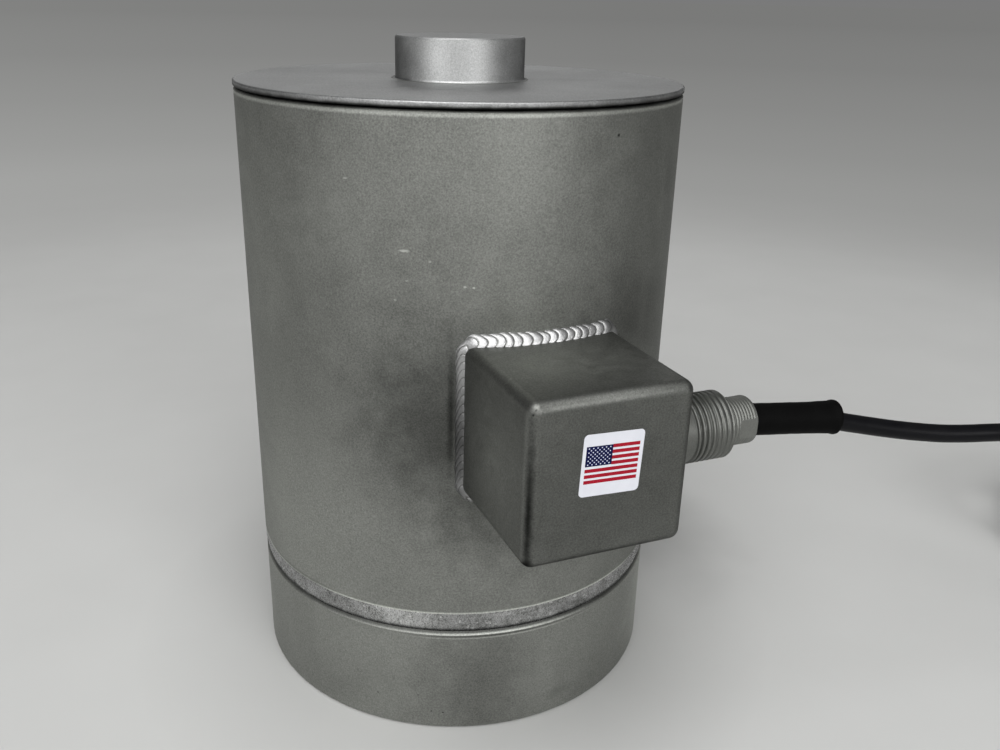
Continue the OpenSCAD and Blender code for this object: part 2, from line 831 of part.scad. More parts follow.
module board_standoffs() {
    color(GOLD_PIN)
    for (a = screw_angles) rotate([0, 0, a]) translate([board_screw_r, 0, spigot_z]) difference() {
        union() {
            cylinder(d = standoff_af / cos(30), h = standoff_h, $fn = 6);
            translate([0, 0, -stud_l]) cylinder(r = stud_r, h = stud_l + cut, $fn = 32);
        }
        translate([0, 0, standoff_h - screw_l]) cylinder(r = screw_r + fit_gap, h = screw_l + cut, $fn = 32);
    }
}

module board_screws() {
    color(BRIGHT_STEEL)
    for (a = screw_angles) rotate([0, 0, a]) translate([board_screw_r, 0, board_top]) difference() {
        union() {
            cylinder(r = screw_head_r, h = screw_head_h, $fn = 32);
            translate([0, 0, -board_t - screw_l / 2])
                cylinder(r = screw_r, h = board_t + screw_l / 2 + cut, $fn = 32);
        }
        translate([-screw_head_r, -screw_slot / 2, screw_head_h - screw_slot])
            cube([2 * screw_head_r, screw_slot, cut]);
    }
}

// Small resistors that balance and trim the bridge, each on its two bent wires
module trim_resistors() {
    color(LEAD_COLOURS[4])
    for (a = resistor_angles) rotate([0, 0, a]) translate([resistor_r, 0, board_top]) {
        axis_z = resistor_body_r + loose_gap;
        translate([0, 0, axis_z]) rotate([90, 0, 0])
            cylinder(r = resistor_body_r, h = resistor_body_l, center = true, $fn = 32);
        translate([0, 0, axis_z]) rotate([90, 0, 0])
            cylinder(r = resistor_wire_r, h = resistor_span, center = true, $fn = 16);
        for (side = [-1, 1]) translate([0, side * (resistor_span / 2 - resistor_wire_r), 0])
            cylinder(r = resistor_wire_r, h = axis_z, $fn = 16);
    }
}

module solder_post() {
    color(GOLD_PIN) {
        cylinder(r = post_foot_r, h = post_foot_h, $fn = 24);
        cylinder(r = post_r, h = post_h, $fn = 24);
    }
}

module solder_posts() {
    on_each_flat() for (y = [-1, 1]) translate([inner_post_r, y * 2 * jumper_x, board_top]) solder_post();
    for (i = [0 : pin_count - 1]) translate(outer_post(i)) solder_post();
}

// Foot of the i-th of the posts that the header's harness starts from
function outer_post(i) = [(i - (pin_count - 1) / 2) * outer_post_step, -outer_post_r, board_top];

// Place of the i-th header pin across its axis, as [x, z]
function pin_at(i) =
    let (a = 90 + 360 * i / pin_count)
    [pin_circle_d / 2 * cos(a), box_z + pin_circle_d / 2 * sin(a)];

// Steel ring of the glass sealed header, let into the casing wall behind the box
module header_shell() {
    color(BRIGHT_STEEL)
    on_header_axis()
    turned([
        [header_bore_r, bore_r - header_in], [header_r, bore_r - header_in], [header_r, body_r + fit_gap],
        [header_flange_r, body_r + fit_gap], [header_flange_r, body_r + fit_gap + header_flange_t],
        [header_r, body_r + header_out], [header_bore_r, body_r + header_out]
    ]);
}

module header_glass() {
    color(CLEAR_GLASS)
    difference() {
        on_header_axis() translate([0, 0, bore_r - header_in + seat_gap])
            cylinder(r = header_bore_r - fit_gap / 2, h = casing_wall + header_in + header_out - 2 * seat_gap);
        for (i = [0 : pin_count - 1]) translate([pin_at(i).x, 0, pin_at(i).y]) rotate([90, 0, 0])
            cylinder(r = pin_r + fit_gap / 2, h = 2 * body_r, $fn = 24);
    }
}

module header_pins() {
    color(GOLD_PIN)
    for (i = [0 : pin_count - 1]) translate([pin_at(i).x, pin_in - body_r, pin_at(i).y]) rotate([90, 0, 0])
        cylinder(r = pin_r, h = pin_in + pin_out, $fn = 24);
}

// Wires from the bridge board to the inner ends of the header pins
module header_harness() {
    for (i = [0 : pin_count - 1]) {
        from = outer_post(post_of_pin[i]) + [0, 0, post_h];
        to = [pin_at(i).x, pin_in - body_r, pin_at(i).y];
        color(LEAD_COLOURS[i])
        swept(wire_path(from, [0, 0, harness_rise], to, [0, harness_reach, 0], 10), lead_r, WIRE_SIDES);
    }
}

// The cable's conductors, from its jacket round to the outer ends of the header pins
module cable_conductors() {
    for (i = [0 : pin_count - 1]) {
        a = 90 + 360 * i / pin_count;
        from = [inlet_x, gland_y + conductor_circle * cos(a), gland_z + conductor_circle * sin(a)];
        to = [pin_at(i).x, -body_r - pin_out, pin_at(i).y];
        bend = to - [0, conductor_straight, 0];
        color(LEAD_COLOURS[i])
        swept(
            concat(wire_path(from, [-conductor_reach, 0, 0], bend, [0, -conductor_reach, 0], 9), [to]),
            conductor_r, WIRE_SIDES
        );
    }
}

// Insulating sleeves over the joints of conductors and pins
module conductor_sleeves() {
    color(BLACK_RUBBER)
    for (i = [0 : pin_count - 1])
        translate([pin_at(i).x, conductor_sleeve_y, pin_at(i).y]) rotate([90, 0, 0]) difference() {
            cylinder(r = conductor_sleeve_r, h = conductor_sleeve_l, $fn = 24);
            translate([0, 0, -cut])
                cylinder(r = conductor_r + fit_gap, h = conductor_sleeve_l + 2 * cut, $fn = 24);
        }
}

// Free cable from the gland down to the floor and along it to the coil
module cable_run() {
    color(BLACK_RUBBER) swept(CABLE_ROUTE, cable_r, CABLE_SIDES);
}

// Outline of the bundle of turns, seen from the coil's middle, grown by g
module bundle_outline(g) {
    w = 2 * coil_half_w + 2 * g;
    h = coil_h + 2 * g;
    r = coil_edge + g;
    translate([coil_mid_r, coil_base + coil_h / 2]) {
        square([w - 2 * r, h], center = true);
        square([w, h - 2 * r], center = true);
        for (x = [-1, 1], y = [-1, 1]) translate([x * (w / 2 - r), y * (h / 2 - r)]) circle(r, $fn = 32);
    }
}

module cable_coil() {
    color(BLACK_RUBBER) translate(coil_at) rotate_extrude() bundle_outline(0);
}

// Straps round the bundle of turns, each with its locking head on top
module coil_ties() {
    color(BLACK_RUBBER)
    translate(coil_at) for (a = tie_angles) rotate([0, 0, a]) {
        rotate([90, 0, 0]) linear_extrude(tie_w, center = true) difference() {
            bundle_outline(tie_gap + tie_t);
            bundle_outline(tie_gap);
        }
        translate([coil_mid_r, 0, coil_top + tie_gap + tie_t - cut / 2 + tie_head.z / 2])
            cube(tie_head, center = true);
    }
}

// Arc of wire of radius wire_r, bent about the coil's middle at bend_r, from one angle to another
module coil_arc(wire_r, bend_r, from, to) {
    translate([coil_at.x, coil_at.y, tail_z]) rotate([0, 0, from])
        rotate_extrude(angle = to - from) translate([bend_r, 0]) circle(wire_r, $fn = 24);
}

module cable_tail() {
    color(BLACK_RUBBER) coil_arc(cable_r, coil_mid_r, tail_from, tail_to);
}

module tail_sleeve() {
    color(BLACK_RUBBER) coil_arc(tail_sleeve_r, coil_mid_r, tail_to, tail_sleeve_to);
}

function tail_lead_r_at(i) = coil_mid_r + (i - (tail_lead_count - 1) / 2) * tail_lead_step;
function tail_lead_end(i) = tail_lead_to - (i % 2) * tail_lead_stagger;

module tail_leads() {
    for (i = [0 : tail_lead_count - 1])
        color(LEAD_COLOURS[i]) coil_arc(tail_lead_r, tail_lead_r_at(i), tail_sleeve_to, tail_lead_end(i));
}

// Tinned ends of the leads
module tail_tips() {
    color(BRIGHT_STEEL)
    for (i = [0 : tail_lead_count - 1])
        coil_arc(tail_tip_r, tail_lead_r_at(i), tail_lead_end(i), tail_lead_end(i) + tail_tip_angle);
}

load_column();
casing_tube();
top_lid();
lid_seam_weld();
button_weld();
base_girth_weld();
guide_diaphragm();
guide_support_ring();
guide_clamp_ring();
junction_box();
box_fillet_weld();
box_sticker();
conduit_hub();
hub_weld();
gland_washers();
gland_grommet();
gland_follower();
cable_sleeve();
cable_inlet();
crimp_collar();
strain_gauges();
gauge_terminals();
gauge_jumpers();
gauge_leads();
bridge_board();
board_standoffs();
board_screws();
trim_resistors();
solder_posts();
header_shell();
header_glass();
header_pins();
header_harness();
cable_conductors();
conductor_sleeves();
cable_run();
cable_coil();
coil_ties();
cable_tail();
tail_sleeve();
tail_leads();
tail_tips();
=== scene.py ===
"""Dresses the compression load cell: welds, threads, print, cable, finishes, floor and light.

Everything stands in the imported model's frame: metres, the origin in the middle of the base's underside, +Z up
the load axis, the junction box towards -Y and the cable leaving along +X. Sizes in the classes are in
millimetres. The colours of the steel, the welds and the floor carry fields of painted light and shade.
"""

import logging
import math
from dataclasses import dataclass, field
from enum import Enum, IntEnum
from typing import Callable, Sequence

import bmesh
import bpy
import numpy as np
from mathutils import Matrix


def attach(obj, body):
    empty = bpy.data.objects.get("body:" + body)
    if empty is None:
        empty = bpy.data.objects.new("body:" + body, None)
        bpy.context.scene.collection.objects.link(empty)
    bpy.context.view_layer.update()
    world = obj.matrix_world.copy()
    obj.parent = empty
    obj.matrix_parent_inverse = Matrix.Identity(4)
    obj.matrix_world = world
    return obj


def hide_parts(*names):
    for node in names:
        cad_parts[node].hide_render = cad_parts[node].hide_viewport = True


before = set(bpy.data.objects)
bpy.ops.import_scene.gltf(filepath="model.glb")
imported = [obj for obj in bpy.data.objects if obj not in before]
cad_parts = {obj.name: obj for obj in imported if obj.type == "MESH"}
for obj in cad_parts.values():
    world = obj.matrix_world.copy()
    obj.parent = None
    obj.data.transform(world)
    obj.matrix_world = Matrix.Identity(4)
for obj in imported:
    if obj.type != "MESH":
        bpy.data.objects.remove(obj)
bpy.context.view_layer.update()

MM = 0.001
log = logging.getLogger("load_cell")

Point = Sequence[float]
Colour = tuple[float, float, float]
Socket = bpy.types.NodeSocket
Setting = float | tuple | Socket
Faces = list[tuple[int, ...]]
Stops = Sequence[tuple[float, float]]
Swell = Callable[[float, float, np.ndarray], np.ndarray]

MIX_SHARE, MIX_FIRST, MIX_SECOND, MIX_RESULT = 0, 6, 7, 2


class Slot(Enum):
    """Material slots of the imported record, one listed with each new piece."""

    WELD = "weld_steel"
    BOX = "box_steel"
    GLAND = "gland_steel"
    JACKET = "cable_jacket"
    SLEEVE = "sleeve_rubber"
    TIE = "tie_nylon"
    FILM = "sticker_film"
    INSULATION = "lead_insulation"
    TINNED = "tinned_copper"
    RESISTOR = "resistor_coat"


class Wiring:
    """Adds nodes to a node tree and joins them, for finishes and for shapes alike."""

    def __init__(self, tree: bpy.types.NodeTree) -> None:
        """Starts work on a tree."""
        self.tree = tree

    def node(self, kind: str, inputs: dict | None = None, **settings: object) -> bpy.types.Node:
        """Adds one node.

        Args:
            kind: the node's type.
            inputs: values or sockets for its inputs, by name or number.
            settings: its own properties.

        Returns:
            The new node.
        """
        made = self.tree.nodes.new(kind)
        for key, value in settings.items():
            setattr(made, key, value)
        for key, value in (inputs or {}).items():
            self.feed(made.inputs[key], value)
        return made

    def given_by(self, kind: str, inputs: dict | None = None, **settings: object) -> Socket:
        """First output of a new node."""
        return self.node(kind, inputs, **settings).outputs[0]

    def feed(self, socket: Socket, value: Setting) -> None:
        """Joins a socket to another, or gives it a plain value.

        Args:
            socket: the socket that takes it.
            value: a socket or a plain value.
        """
        if isinstance(value, bpy.types.NodeSocket):
            self.tree.links.new(value, socket)
        else:
            socket.default_value = value

    def math(self, operation: str, first: Setting, second: Setting = 0.0) -> Socket:
        """Result of a Math node on two values."""
        return self.given_by("ShaderNodeMath", {0: first, 1: second}, operation=operation)

    def add(self, *terms: Setting) -> Socket:
        """Sum of the terms.

        Args:
            terms: two or more values.

        Returns:
            The sum.
        """
        total = terms[0]
        for term in terms[1:]:
            total = self.math("ADD", total, term)
        return total

    def times(self, first: Setting, second: Setting) -> Socket:
        """Product of two values."""
        return self.math("MULTIPLY", first, second)

    def swing(self, value: Setting, width: float | Socket) -> Socket:
        """A value between 0 and 1, set about 0 and made that wide."""
        return self.times(self.math("SUBTRACT", value, 0.5), width)

    def level(self, value: Setting, low: float, high: float, to_low: float = 0.0, to_high: float = 1.0,
              smooth: bool = False) -> Socket:
        """Value carried from one range to another and held inside it.

        Args:
            value: the value to carry.
            low: start of its range.
            high: end of its range.
            to_low: result at the start.
            to_high: result at the end.
            smooth: eases both ends.

        Returns:
            The carried value.
        """
        kind = "SMOOTHSTEP" if smooth else "LINEAR"
        inputs = {"Value": value, "From Min": low, "From Max": high, "To Min": to_low, "To Max": to_high}
        return self.given_by("ShaderNodeMapRange", inputs, interpolation_type=kind)

    def noise(self, place: Socket, size_mm: float, detail: float = 2.0, rough: float = 0.5,
              distortion: float = 0.0) -> Socket:
        """Noise from 0 to 1.

        Args:
            place: coordinates in metres.
            size_mm: size of its patches in millimetres.
            detail: number of finer layers.
            rough: strength of the finer layers.
            distortion: how far the patches are pulled about.

        Returns:
            The noise value.
        """
        inputs = {"Vector": place, "Scale": 1.0 / (size_mm * MM), "Detail": detail, "Roughness": rough,
                  "Distortion": distortion}
        return self.given_by("ShaderNodeTexNoise", inputs)

    def mixed(self, first: Setting, second: Setting, share: Setting, blend: str = "MIX") -> Socket:
        """Colour between two colours, or the second laid on the first in another way.

        Args:
            first: the colour at share 0.
            second: the colour at share 1.
            share: how much of the second.
            blend: how the second is laid on.

        Returns:
            The mixed colour.
        """
        made = self.node("ShaderNodeMix", data_type="RGBA", blend_type=blend)
        self.feed(made.inputs[MIX_SHARE], share)
        for index, colour in ((MIX_FIRST, first), (MIX_SECOND, second)):
            plain = not isinstance(colour, bpy.types.NodeSocket)
            self.feed(made.inputs[index], (*colour, 1.0) if plain else colour)
        return made.outputs[MIX_RESULT]

    def parts(self, vector: Socket) -> tuple[Socket, Socket, Socket]:
        """The three components of a vector."""
        made = self.node("ShaderNodeSeparateXYZ", {0: vector})
        return made.outputs[0], made.outputs[1], made.outputs[2]

    def vector(self, operation: str, first: Setting, second: Setting = (0.0, 0.0, 0.0)) -> Socket:
        """Vector that a Vector Math node makes of two vectors."""
        return self.given_by("ShaderNodeVectorMath", {0: first, 1: second}, operation=operation)

    def length(self, vector: Socket) -> Socket:
        """Length of a vector."""
        return self.node("ShaderNodeVectorMath", {0: vector}, operation="LENGTH").outputs["Value"]

    def scaled(self, vector: Socket, factor: Setting) -> Socket:
        """A vector or a colour times a number."""
        return self.given_by("ShaderNodeVectorMath", {0: vector, "Scale": factor}, operation="SCALE")


class Shader(Wiring):
    """A procedural material under construction."""

    def __init__(self, name: str) -> None:
        """Starts a material with one Principled shader.

        Args:
            name: the material's name.
        """
        self.material = bpy.data.materials.new(name)
        self.material.use_nodes = True
        super().__init__(self.material.node_tree)
        self.tree.nodes.clear()
        self.surface = self.node("ShaderNodeBsdfPrincipled")
        self.output = self.node("ShaderNodeOutputMaterial")
        self.feed(self.output.inputs[0], self.surface.outputs[0])
        self.place = self.node("ShaderNodeTexCoord").outputs["Object"]

    def set(self, **values: Setting) -> None:
        """Feeds inputs of the Principled shader, with _ for a space in their names."""
        for key, value in values.items():
            if isinstance(value, tuple) and len(value) == 3:
                value = (*value, 1.0)
            self.feed(self.surface.inputs[key.replace("_", " ")], value)

    def toned(self, tone: float, spread: float, tint: Colour, share: Socket) -> Socket:
        """Tinted grey that strays from its tone by that spread either way."""
        dark, light = grey(tone * (1 - spread), tint), grey(tone * (1 + spread), tint)
        return self.mixed(dark, light, self.level(share, 0.0, 1.0))

    def marked(self, colour: Socket, mark: "Mark") -> Socket:
        """Colour with a small mark of handling on it, ragged at its rim.

        Args:
            colour: the colour under it.
            mark: the mark.

        Returns:
            The colour with the mark.
        """
        away = self.vector("SUBTRACT", self.place, tuple(c * MM for c in mark.place))
        reach = self.length(self.vector("MULTIPLY", away, (1.0 / mark.long_x, 1.0 / mark.long_x, 1.0)))
        radius = mark.radius * MM
        ragged = self.times(self.noise(self.place, mark.rag_mm, 1.0), radius * mark.rag)
        share = self.level(self.add(reach, ragged), radius * mark.rim, radius * mark.core, 0.0, mark.strength)
        return self.mixed(colour, grey(mark.shade, WARM), share)

    def shaded(self, colour: Socket, shade: "Shade", patches: Socket) -> Socket:
        """Colour multiplied by the level of a soft field of painted light and shade, whose rim the patches make
        uneven.

        Args:
            colour: the colour under it.
            shade: the field of painted light and shade.
            patches: noise from 0 to 1.

        Returns:
            The shaded colour.
        """
        away = self.vector("SUBTRACT", self.place, tuple(c * MM for c in shade.place))
        within = self.vector("MULTIPLY", away, tuple(1 / (r * MM) for r in shade.reach))
        reach = self.add(self.length(within), self.swing(patches, 0.5))
        return self.scaled(colour, self.level(reach, 0.0, 1.0, shade.level, 1.0, smooth=True))

    def attribute(self, name: str) -> Socket:
        """A number stored on the piece's own mesh."""
        return self.node("ShaderNodeAttribute", attribute_name=name).outputs["Fac"]

    def relief(self, height: Socket, depth_mm: float, strength: float) -> None:
        """Bump from a height between 0 and 1."""
        inputs = {"Height": height, "Distance": depth_mm * MM, "Strength": strength}
        self.feed(self.surface.inputs["Normal"], self.given_by("ShaderNodeBump", inputs))


def grey(level: float, tint: Colour = (1.0, 1.0, 1.0)) -> Colour:
    """A grey of that linear level, tinted."""
    return level * tint[0], level * tint[1], level * tint[2]


WARM: Colour = (0.99, 1.012, 0.945)
COOL: Colour = (0.99, 1.0, 0.995)
PAPER: Colour = (1.0, 1.005, 0.985)


@dataclass(frozen=True)
class Mark:
    """A small mark of handling at a place on a surface, stretched along it where it is a scratch."""

    place: Point
    radius: float
    shade: float
    long_x: float = 1.0
    strength: float = 1.0
    rag_mm: float = 0.5
    rag: float = 0.8
    rim: float = 1.4
    core: float = 0.7


@dataclass(frozen=True)
class Shade:
    """A soft field of painted light and shade: the share of its colour in the field's middle, below 1 for
    shade, above 1 for light.
    """

    place: Point
    reach: Point
    level: float


class Finish:
    """A surface finish that can make its own procedural material."""

    name: str

    def material(self) -> bpy.types.Material:
        """Builds the material."""
        raise NotImplementedError


@dataclass(frozen=True)
class BlastedSteel(Finish):
    """Bead-blasted stainless steel: cloudy, finely grained, with a few marks and fields of painted light and
    shade.
    """

    name: str
    tone: float
    spread: float = 0.3
    cloud_mm: float = 46.0
    cloud: float = 0.5
    grain_mm: float = 0.55
    grain: float = 0.45
    rough: tuple[float, float] = (0.42, 0.54)
    bump: float = 0.35
    edge: float = 0.6
    tint: Colour = WARM
    marks: tuple[Mark, ...] = ()
    shades: tuple[Shade, ...] = ()

    def material(self) -> bpy.types.Material:
        """Builds the material.

        Returns:
            The new material.
        """
        s = Shader(self.name)
        clouds = s.noise(s.place, self.cloud_mm, 4.0, 0.55, 0.3)
        patches = s.noise(s.place, self.cloud_mm / 5, 3.0, 0.6)
        grains = s.noise(s.place, self.grain_mm, 2.0, 0.7)
        share = s.add(0.5, s.swing(clouds, 2.4 * self.cloud), s.swing(patches, 1.1 * self.cloud),
                      s.swing(grains, 2.0 * self.grain))
        colour = s.toned(self.tone, self.spread, self.tint, share)
        for mark in self.marks:
            colour = s.marked(colour, mark)
        # Painted light and shade: each field darkens or lightens the colour.
        for shade in self.shades:
            colour = s.shaded(colour, shade, patches)
        s.set(Base_Color=colour, Metallic=1.0, Roughness=s.level(patches, 0.3, 0.7, *self.rough))
        s.set(Specular_Tint=grey(self.edge))
        fine = s.noise(s.place, self.grain_mm * 0.7, 1.0, 0.5)
        s.relief(s.add(s.times(grains, 0.6), s.times(fine, 0.4)), 0.12, self.bump)
        return s.material


@dataclass(frozen=True)
class WeldSteel(Finish):
    """Bright weld metal with painted shade in the creases between its ripples and small painted glints."""

    name: str
    crease: float
    crest: float
    rough: tuple[float, float]
    speckle: float
    ripple: float = 1.0
    glints: float = 0.0
    shades: tuple[Shade, ...] = ()
    grain_mm: float = 0.5
    patch_mm: float = 5.0
    glint_mm: float = 1.7
    glint_tone: float = 0.95
    bump: float = 0.5

    def material(self) -> bpy.types.Material:
        """Builds the material. The mesh carries how far each place lies above its crease, as lobe.

        Returns:
            The new material.
        """
        s = Shader(self.name)
        grains = s.noise(s.place, self.grain_mm, 3.0, 0.7)
        patches = s.noise(s.place, self.patch_mm, 3.0, 0.6)
        # Painted shade: the colour runs from the crease level at the foot of each ripple to the crest level on
        # top.
        half = self.ripple / 2
        lobe = s.level(s.attribute("lobe"), 0.15, 0.75, 0.5 - half, 0.5 + half, smooth=True)
        share = s.add(lobe, s.swing(grains, self.speckle * 2), s.swing(patches, self.speckle * 1.6))
        colour = s.mixed(grey(self.crease, WARM), grey(self.crest), s.level(share, 0.0, 1.0))
        # Painted glints: small bright specks laid over the weld's colour.
        glint_spots = s.noise(s.place, self.glint_mm, 2.0, 0.6, 0.5)
        glint = s.level(glint_spots, 0.62, 0.7, 0.0, self.glints, smooth=True)
        colour = s.mixed(colour, grey(self.glint_tone), glint)
        # Painted light and shade from the finish's fields.
        for shade in self.shades:
            colour = s.shaded(colour, shade, patches)
        s.set(Base_Color=colour, Metallic=1.0, Roughness=s.level(grains, 0.3, 0.7, *self.rough))
        s.relief(grains, 0.15, self.bump)
        return s.material


@dataclass(frozen=True)
class TurnedSteel(Finish):
    """Turned stainless steel with fine rings about one axis, lightly blasted."""

    name: str
    tone: float
    axis: int = 2
    centre: Point = (0.0, 0.0, 0.0)
    spread: float = 0.2
    rough: tuple[float, float] = (0.26, 0.38)
    rings_mm: float = 0.35
    bump: float = 0.25

    def material(self) -> bpy.types.Material:
        """Builds the material: the coordinates become distance along the axis and distance from it.

        Returns:
            The new material.
        """
        s = Shader(self.name)
        about = s.vector("SUBTRACT", s.place, tuple(c * MM for c in self.centre))
        along = s.parts(about)[self.axis]
        flat = tuple(0.0 if i == self.axis else 1.0 for i in range(3))
        away = s.length(s.vector("MULTIPLY", about, flat))
        turned = s.given_by("ShaderNodeCombineXYZ", {0: along, 1: away, 2: 0.0})
        rings = s.noise(turned, self.rings_mm, 3.0, 0.6)
        clouds = s.noise(s.place, 16.0, 4.0, 0.6, 0.4)
        grains = s.noise(s.place, 0.5, 2.0, 0.7)
        share = s.add(0.5, s.swing(rings, 0.5), s.swing(clouds, 1.3), s.swing(grains, 0.9))
        colour = s.toned(self.tone, self.spread, WARM, share)
        s.set(Base_Color=colour, Metallic=1.0, Roughness=s.level(clouds, 0.3, 0.7, *self.rough))
        s.relief(s.add(s.times(rings, 0.5), s.times(grains, 0.5)), 0.08, self.bump)
        return s.material


@dataclass(frozen=True)
class Moulded(Finish):
    """Rubber, plastic, film or ink: a soft-edged colour with a fine skin."""

    name: str
    colour: Colour
    second: Colour
    rough: tuple[float, float] = (0.4, 0.55)
    patch_mm: float = 6.0
    skin_mm: float = 0.3
    skin_depth: float = 0.05
    bump: float = 0.3
    metallic: float = 0.0
    coat: float = 0.0
    transmission: float = 0.0
    gleam: float = 0.5

    def material(self) -> bpy.types.Material:
        """Builds the material.

        Returns:
            The new material.
        """
        s = Shader(self.name)
        patches = s.noise(s.place, self.patch_mm, 4.0, 0.6, 0.2)
        skin = s.noise(s.place, self.skin_mm, 2.0, 0.6)
        share = s.add(s.times(patches, 0.75), s.times(skin, 0.25))
        colour = s.mixed(self.colour, self.second, s.level(share, 0.32, 0.68))
        s.set(Base_Color=colour, Metallic=self.metallic, Roughness=s.level(patches, 0.3, 0.7, *self.rough))
        s.set(Coat_Weight=self.coat, Transmission_Weight=self.transmission, Specular_IOR_Level=self.gleam)
        s.relief(skin, self.skin_depth, self.bump)
        return s.material


@dataclass(frozen=True)
class GaugeFoil(Finish):
    """Strain gauge: an etched foil grid under a thin amber carrier, on each of the four flats."""

    name: str
    middle_z: float
    pitch: float = 0.8
    half_w: float = 4.0
    half_l: float = 5.5
    rim: float = 0.1

    def material(self) -> bpy.types.Material:
        """Builds the material from the distance along the flat and up it.

        Returns:
            The new material.
        """
        s = Shader(self.name)
        x, y, z = s.parts(s.place)
        on_x = s.math("GREATER_THAN", s.math("ABSOLUTE", x), s.math("ABSOLUTE", y))
        along = s.add(s.times(y, on_x), s.times(x, s.math("SUBTRACT", 1.0, on_x)))
        lines = s.level(s.math("SINE", s.times(along, 2 * math.pi / (self.pitch * MM))), -0.2, 0.2)
        wide = self.held_in(s, along, self.half_w)
        tall = self.held_in(s, s.math("SUBTRACT", z, self.middle_z * MM), self.half_l)
        share = s.times(lines, s.times(wide, tall))
        clouds = s.noise(s.place, 3.0, 3.0, 0.6)
        carrier = s.mixed((0.42, 0.17, 0.03), (0.6, 0.3, 0.07), clouds)
        foil = s.mixed(carrier, (0.7, 0.62, 0.5), share)
        s.set(Base_Color=foil, Metallic=s.times(share, 0.8), Roughness=0.32)
        s.relief(share, 0.02, 0.4)
        return s.material

    def held_in(self, s: Shader, away: Socket, half: float) -> Socket:
        """1 within half a size of the grid's middle, 0 past its rim."""
        return s.level(s.math("ABSOLUTE", away), (half - self.rim) * MM, half * MM, 1.0, 0.0)


@dataclass(frozen=True)
class BoardLaminate(Finish):
    """Green board with ring shaped copper tracks under its mask."""

    name: str
    track_mm: float = 2.6

    def material(self) -> bpy.types.Material:
        """Builds the material.

        Returns:
            The new material.
        """
        s = Shader(self.name)
        flat = s.vector("MULTIPLY", s.place, (1.0, 1.0, 0.0))
        wave = s.math("SINE", s.times(s.length(flat), 2 * math.pi / (self.track_mm * MM)))
        share = s.times(s.level(wave, 0.45, 0.65), s.level(s.noise(flat, 11.0, 0.0), 0.46, 0.5))
        weave = s.noise(s.place, 0.4, 2.0, 0.6)
        clouds = s.noise(s.place, 15.0, 3.0, 0.6)
        green = s.mixed((0.006, 0.07, 0.025), (0.012, 0.11, 0.04), clouds)
        colour = s.mixed(green, (0.05, 0.24, 0.08), share)
        s.set(Base_Color=colour, Roughness=s.level(weave, 0.3, 0.7, 0.3, 0.45))
        s.relief(s.add(share, s.times(weave, 0.2)), 0.05, 0.4)
        return s.material


class ShapeTree(Wiring):
    """A Geometry Nodes group under construction, with named inputs for its sizes."""

    def __init__(self, name: str, sizes: Sequence[str], counts: Sequence[str] = ()) -> None:
        """Starts a group that takes a geometry and a material and gives a geometry.

        Args:
            name: the group's name.
            sizes: names of its other inputs that are plain numbers.
            counts: names of those that are whole numbers.
        """
        super().__init__(bpy.data.node_groups.new(name, "GeometryNodeTree"))
        kinds = {"Geometry": "Geometry", **dict.fromkeys(sizes, "Float"), **dict.fromkeys(counts, "Int"),
                 "Material": "Material"}
        face = self.tree.interface
        for label, kind in kinds.items():
            face.new_socket(label, in_out="INPUT", socket_type=f"NodeSocket{kind}")
        face.new_socket("Geometry", in_out="OUTPUT", socket_type="NodeSocketGeometry")
        self.given = self.node("NodeGroupInput").outputs
        self.result = self.node("NodeGroupOutput")

    def attribute(self, name: str, kind: str = "FLOAT") -> Socket:
        """A value stored on the mesh's points."""
        return self.given_by("GeometryNodeInputNamedAttribute", {"Name": name}, data_type=kind)

    def ends_in(self, shape: Socket) -> None:
        """Realizes the instances, sets the material and closes the group.

        Args:
            shape: the geometry to finish.
        """
        real = self.given_by("GeometryNodeRealizeInstances", {"Geometry": shape})
        inputs = {"Geometry": real, "Material": self.given["Material"]}
        self.feed(self.result.inputs[0], self.given_by("GeometryNodeSetMaterial", inputs))

    def shape(self, piece: bpy.types.Object, finish: Finish, values: dict[str, float]) -> None:
        """Runs the group on a piece and keeps the result as its plain mesh.

        Args:
            piece: the object to work on.
            finish: what its material is made by.
            values: values for the other named inputs.
        """
        modifier = piece.modifiers.new("shape", "NODES")
        modifier.node_group = self.tree
        sockets = self.tree.interface.items_tree
        keys = {item.name: item.identifier for item in sockets if item.in_out == "INPUT"}
        for label, value in {**values, "Material": finish.material()}.items():
            modifier[keys[label]] = value
        settled(piece)


def settled(piece: bpy.types.Object) -> bpy.types.Object:
    """Turns a piece with its modifiers into a plain mesh without them.

    Args:
        piece: the piece.

    Returns:
        The same object.
    """
    bpy.context.view_layer.update()
    graph = bpy.context.evaluated_depsgraph_get()
    mesh = bpy.data.meshes.new_from_object(piece.evaluated_get(graph), preserve_all_data_layers=True,
                                           depsgraph=graph)
    old = piece.data
    piece.modifiers.clear()
    piece.data = mesh
    bpy.data.meshes.remove(old)
    mesh.name = piece.name
    return piece


def solid(name: str, points: np.ndarray, faces: list, smooth: bool = True) -> bpy.types.Object:
    """Makes an object from points in millimetres, with its faces turned outwards.

    Args:
        name: the piece's name.
        points: the points, one row each.
        faces: the faces, as lists of point numbers.
        smooth: shades the faces smoothly.

    Returns:
        The new object, at the origin.
    """
    mesh = bpy.data.meshes.new(name)
    mesh.from_pydata((np.asarray(points, float) * MM).tolist(), [], faces)
    mesh.validate()
    work = bmesh.new()
    work.from_mesh(mesh)
    if work.calc_volume(signed=True) < 0:
        bmesh.ops.reverse_faces(work, faces=work.faces)
    work.to_mesh(mesh)
    work.free()
    mesh.polygons.foreach_set("use_smooth", [smooth] * len(mesh.polygons))
    piece = bpy.data.objects.new(name, mesh)
    bpy.context.scene.collection.objects.link(piece)
    return piece


def band(low: int, high: int, columns: int) -> Faces:
    """Faces between two closed rows of points, given by the numbers of their first points."""
    after = [(k + 1) % columns for k in range(columns)]
    return [(low + k, high + k, high + n, low + n) for k, n in enumerate(after)]


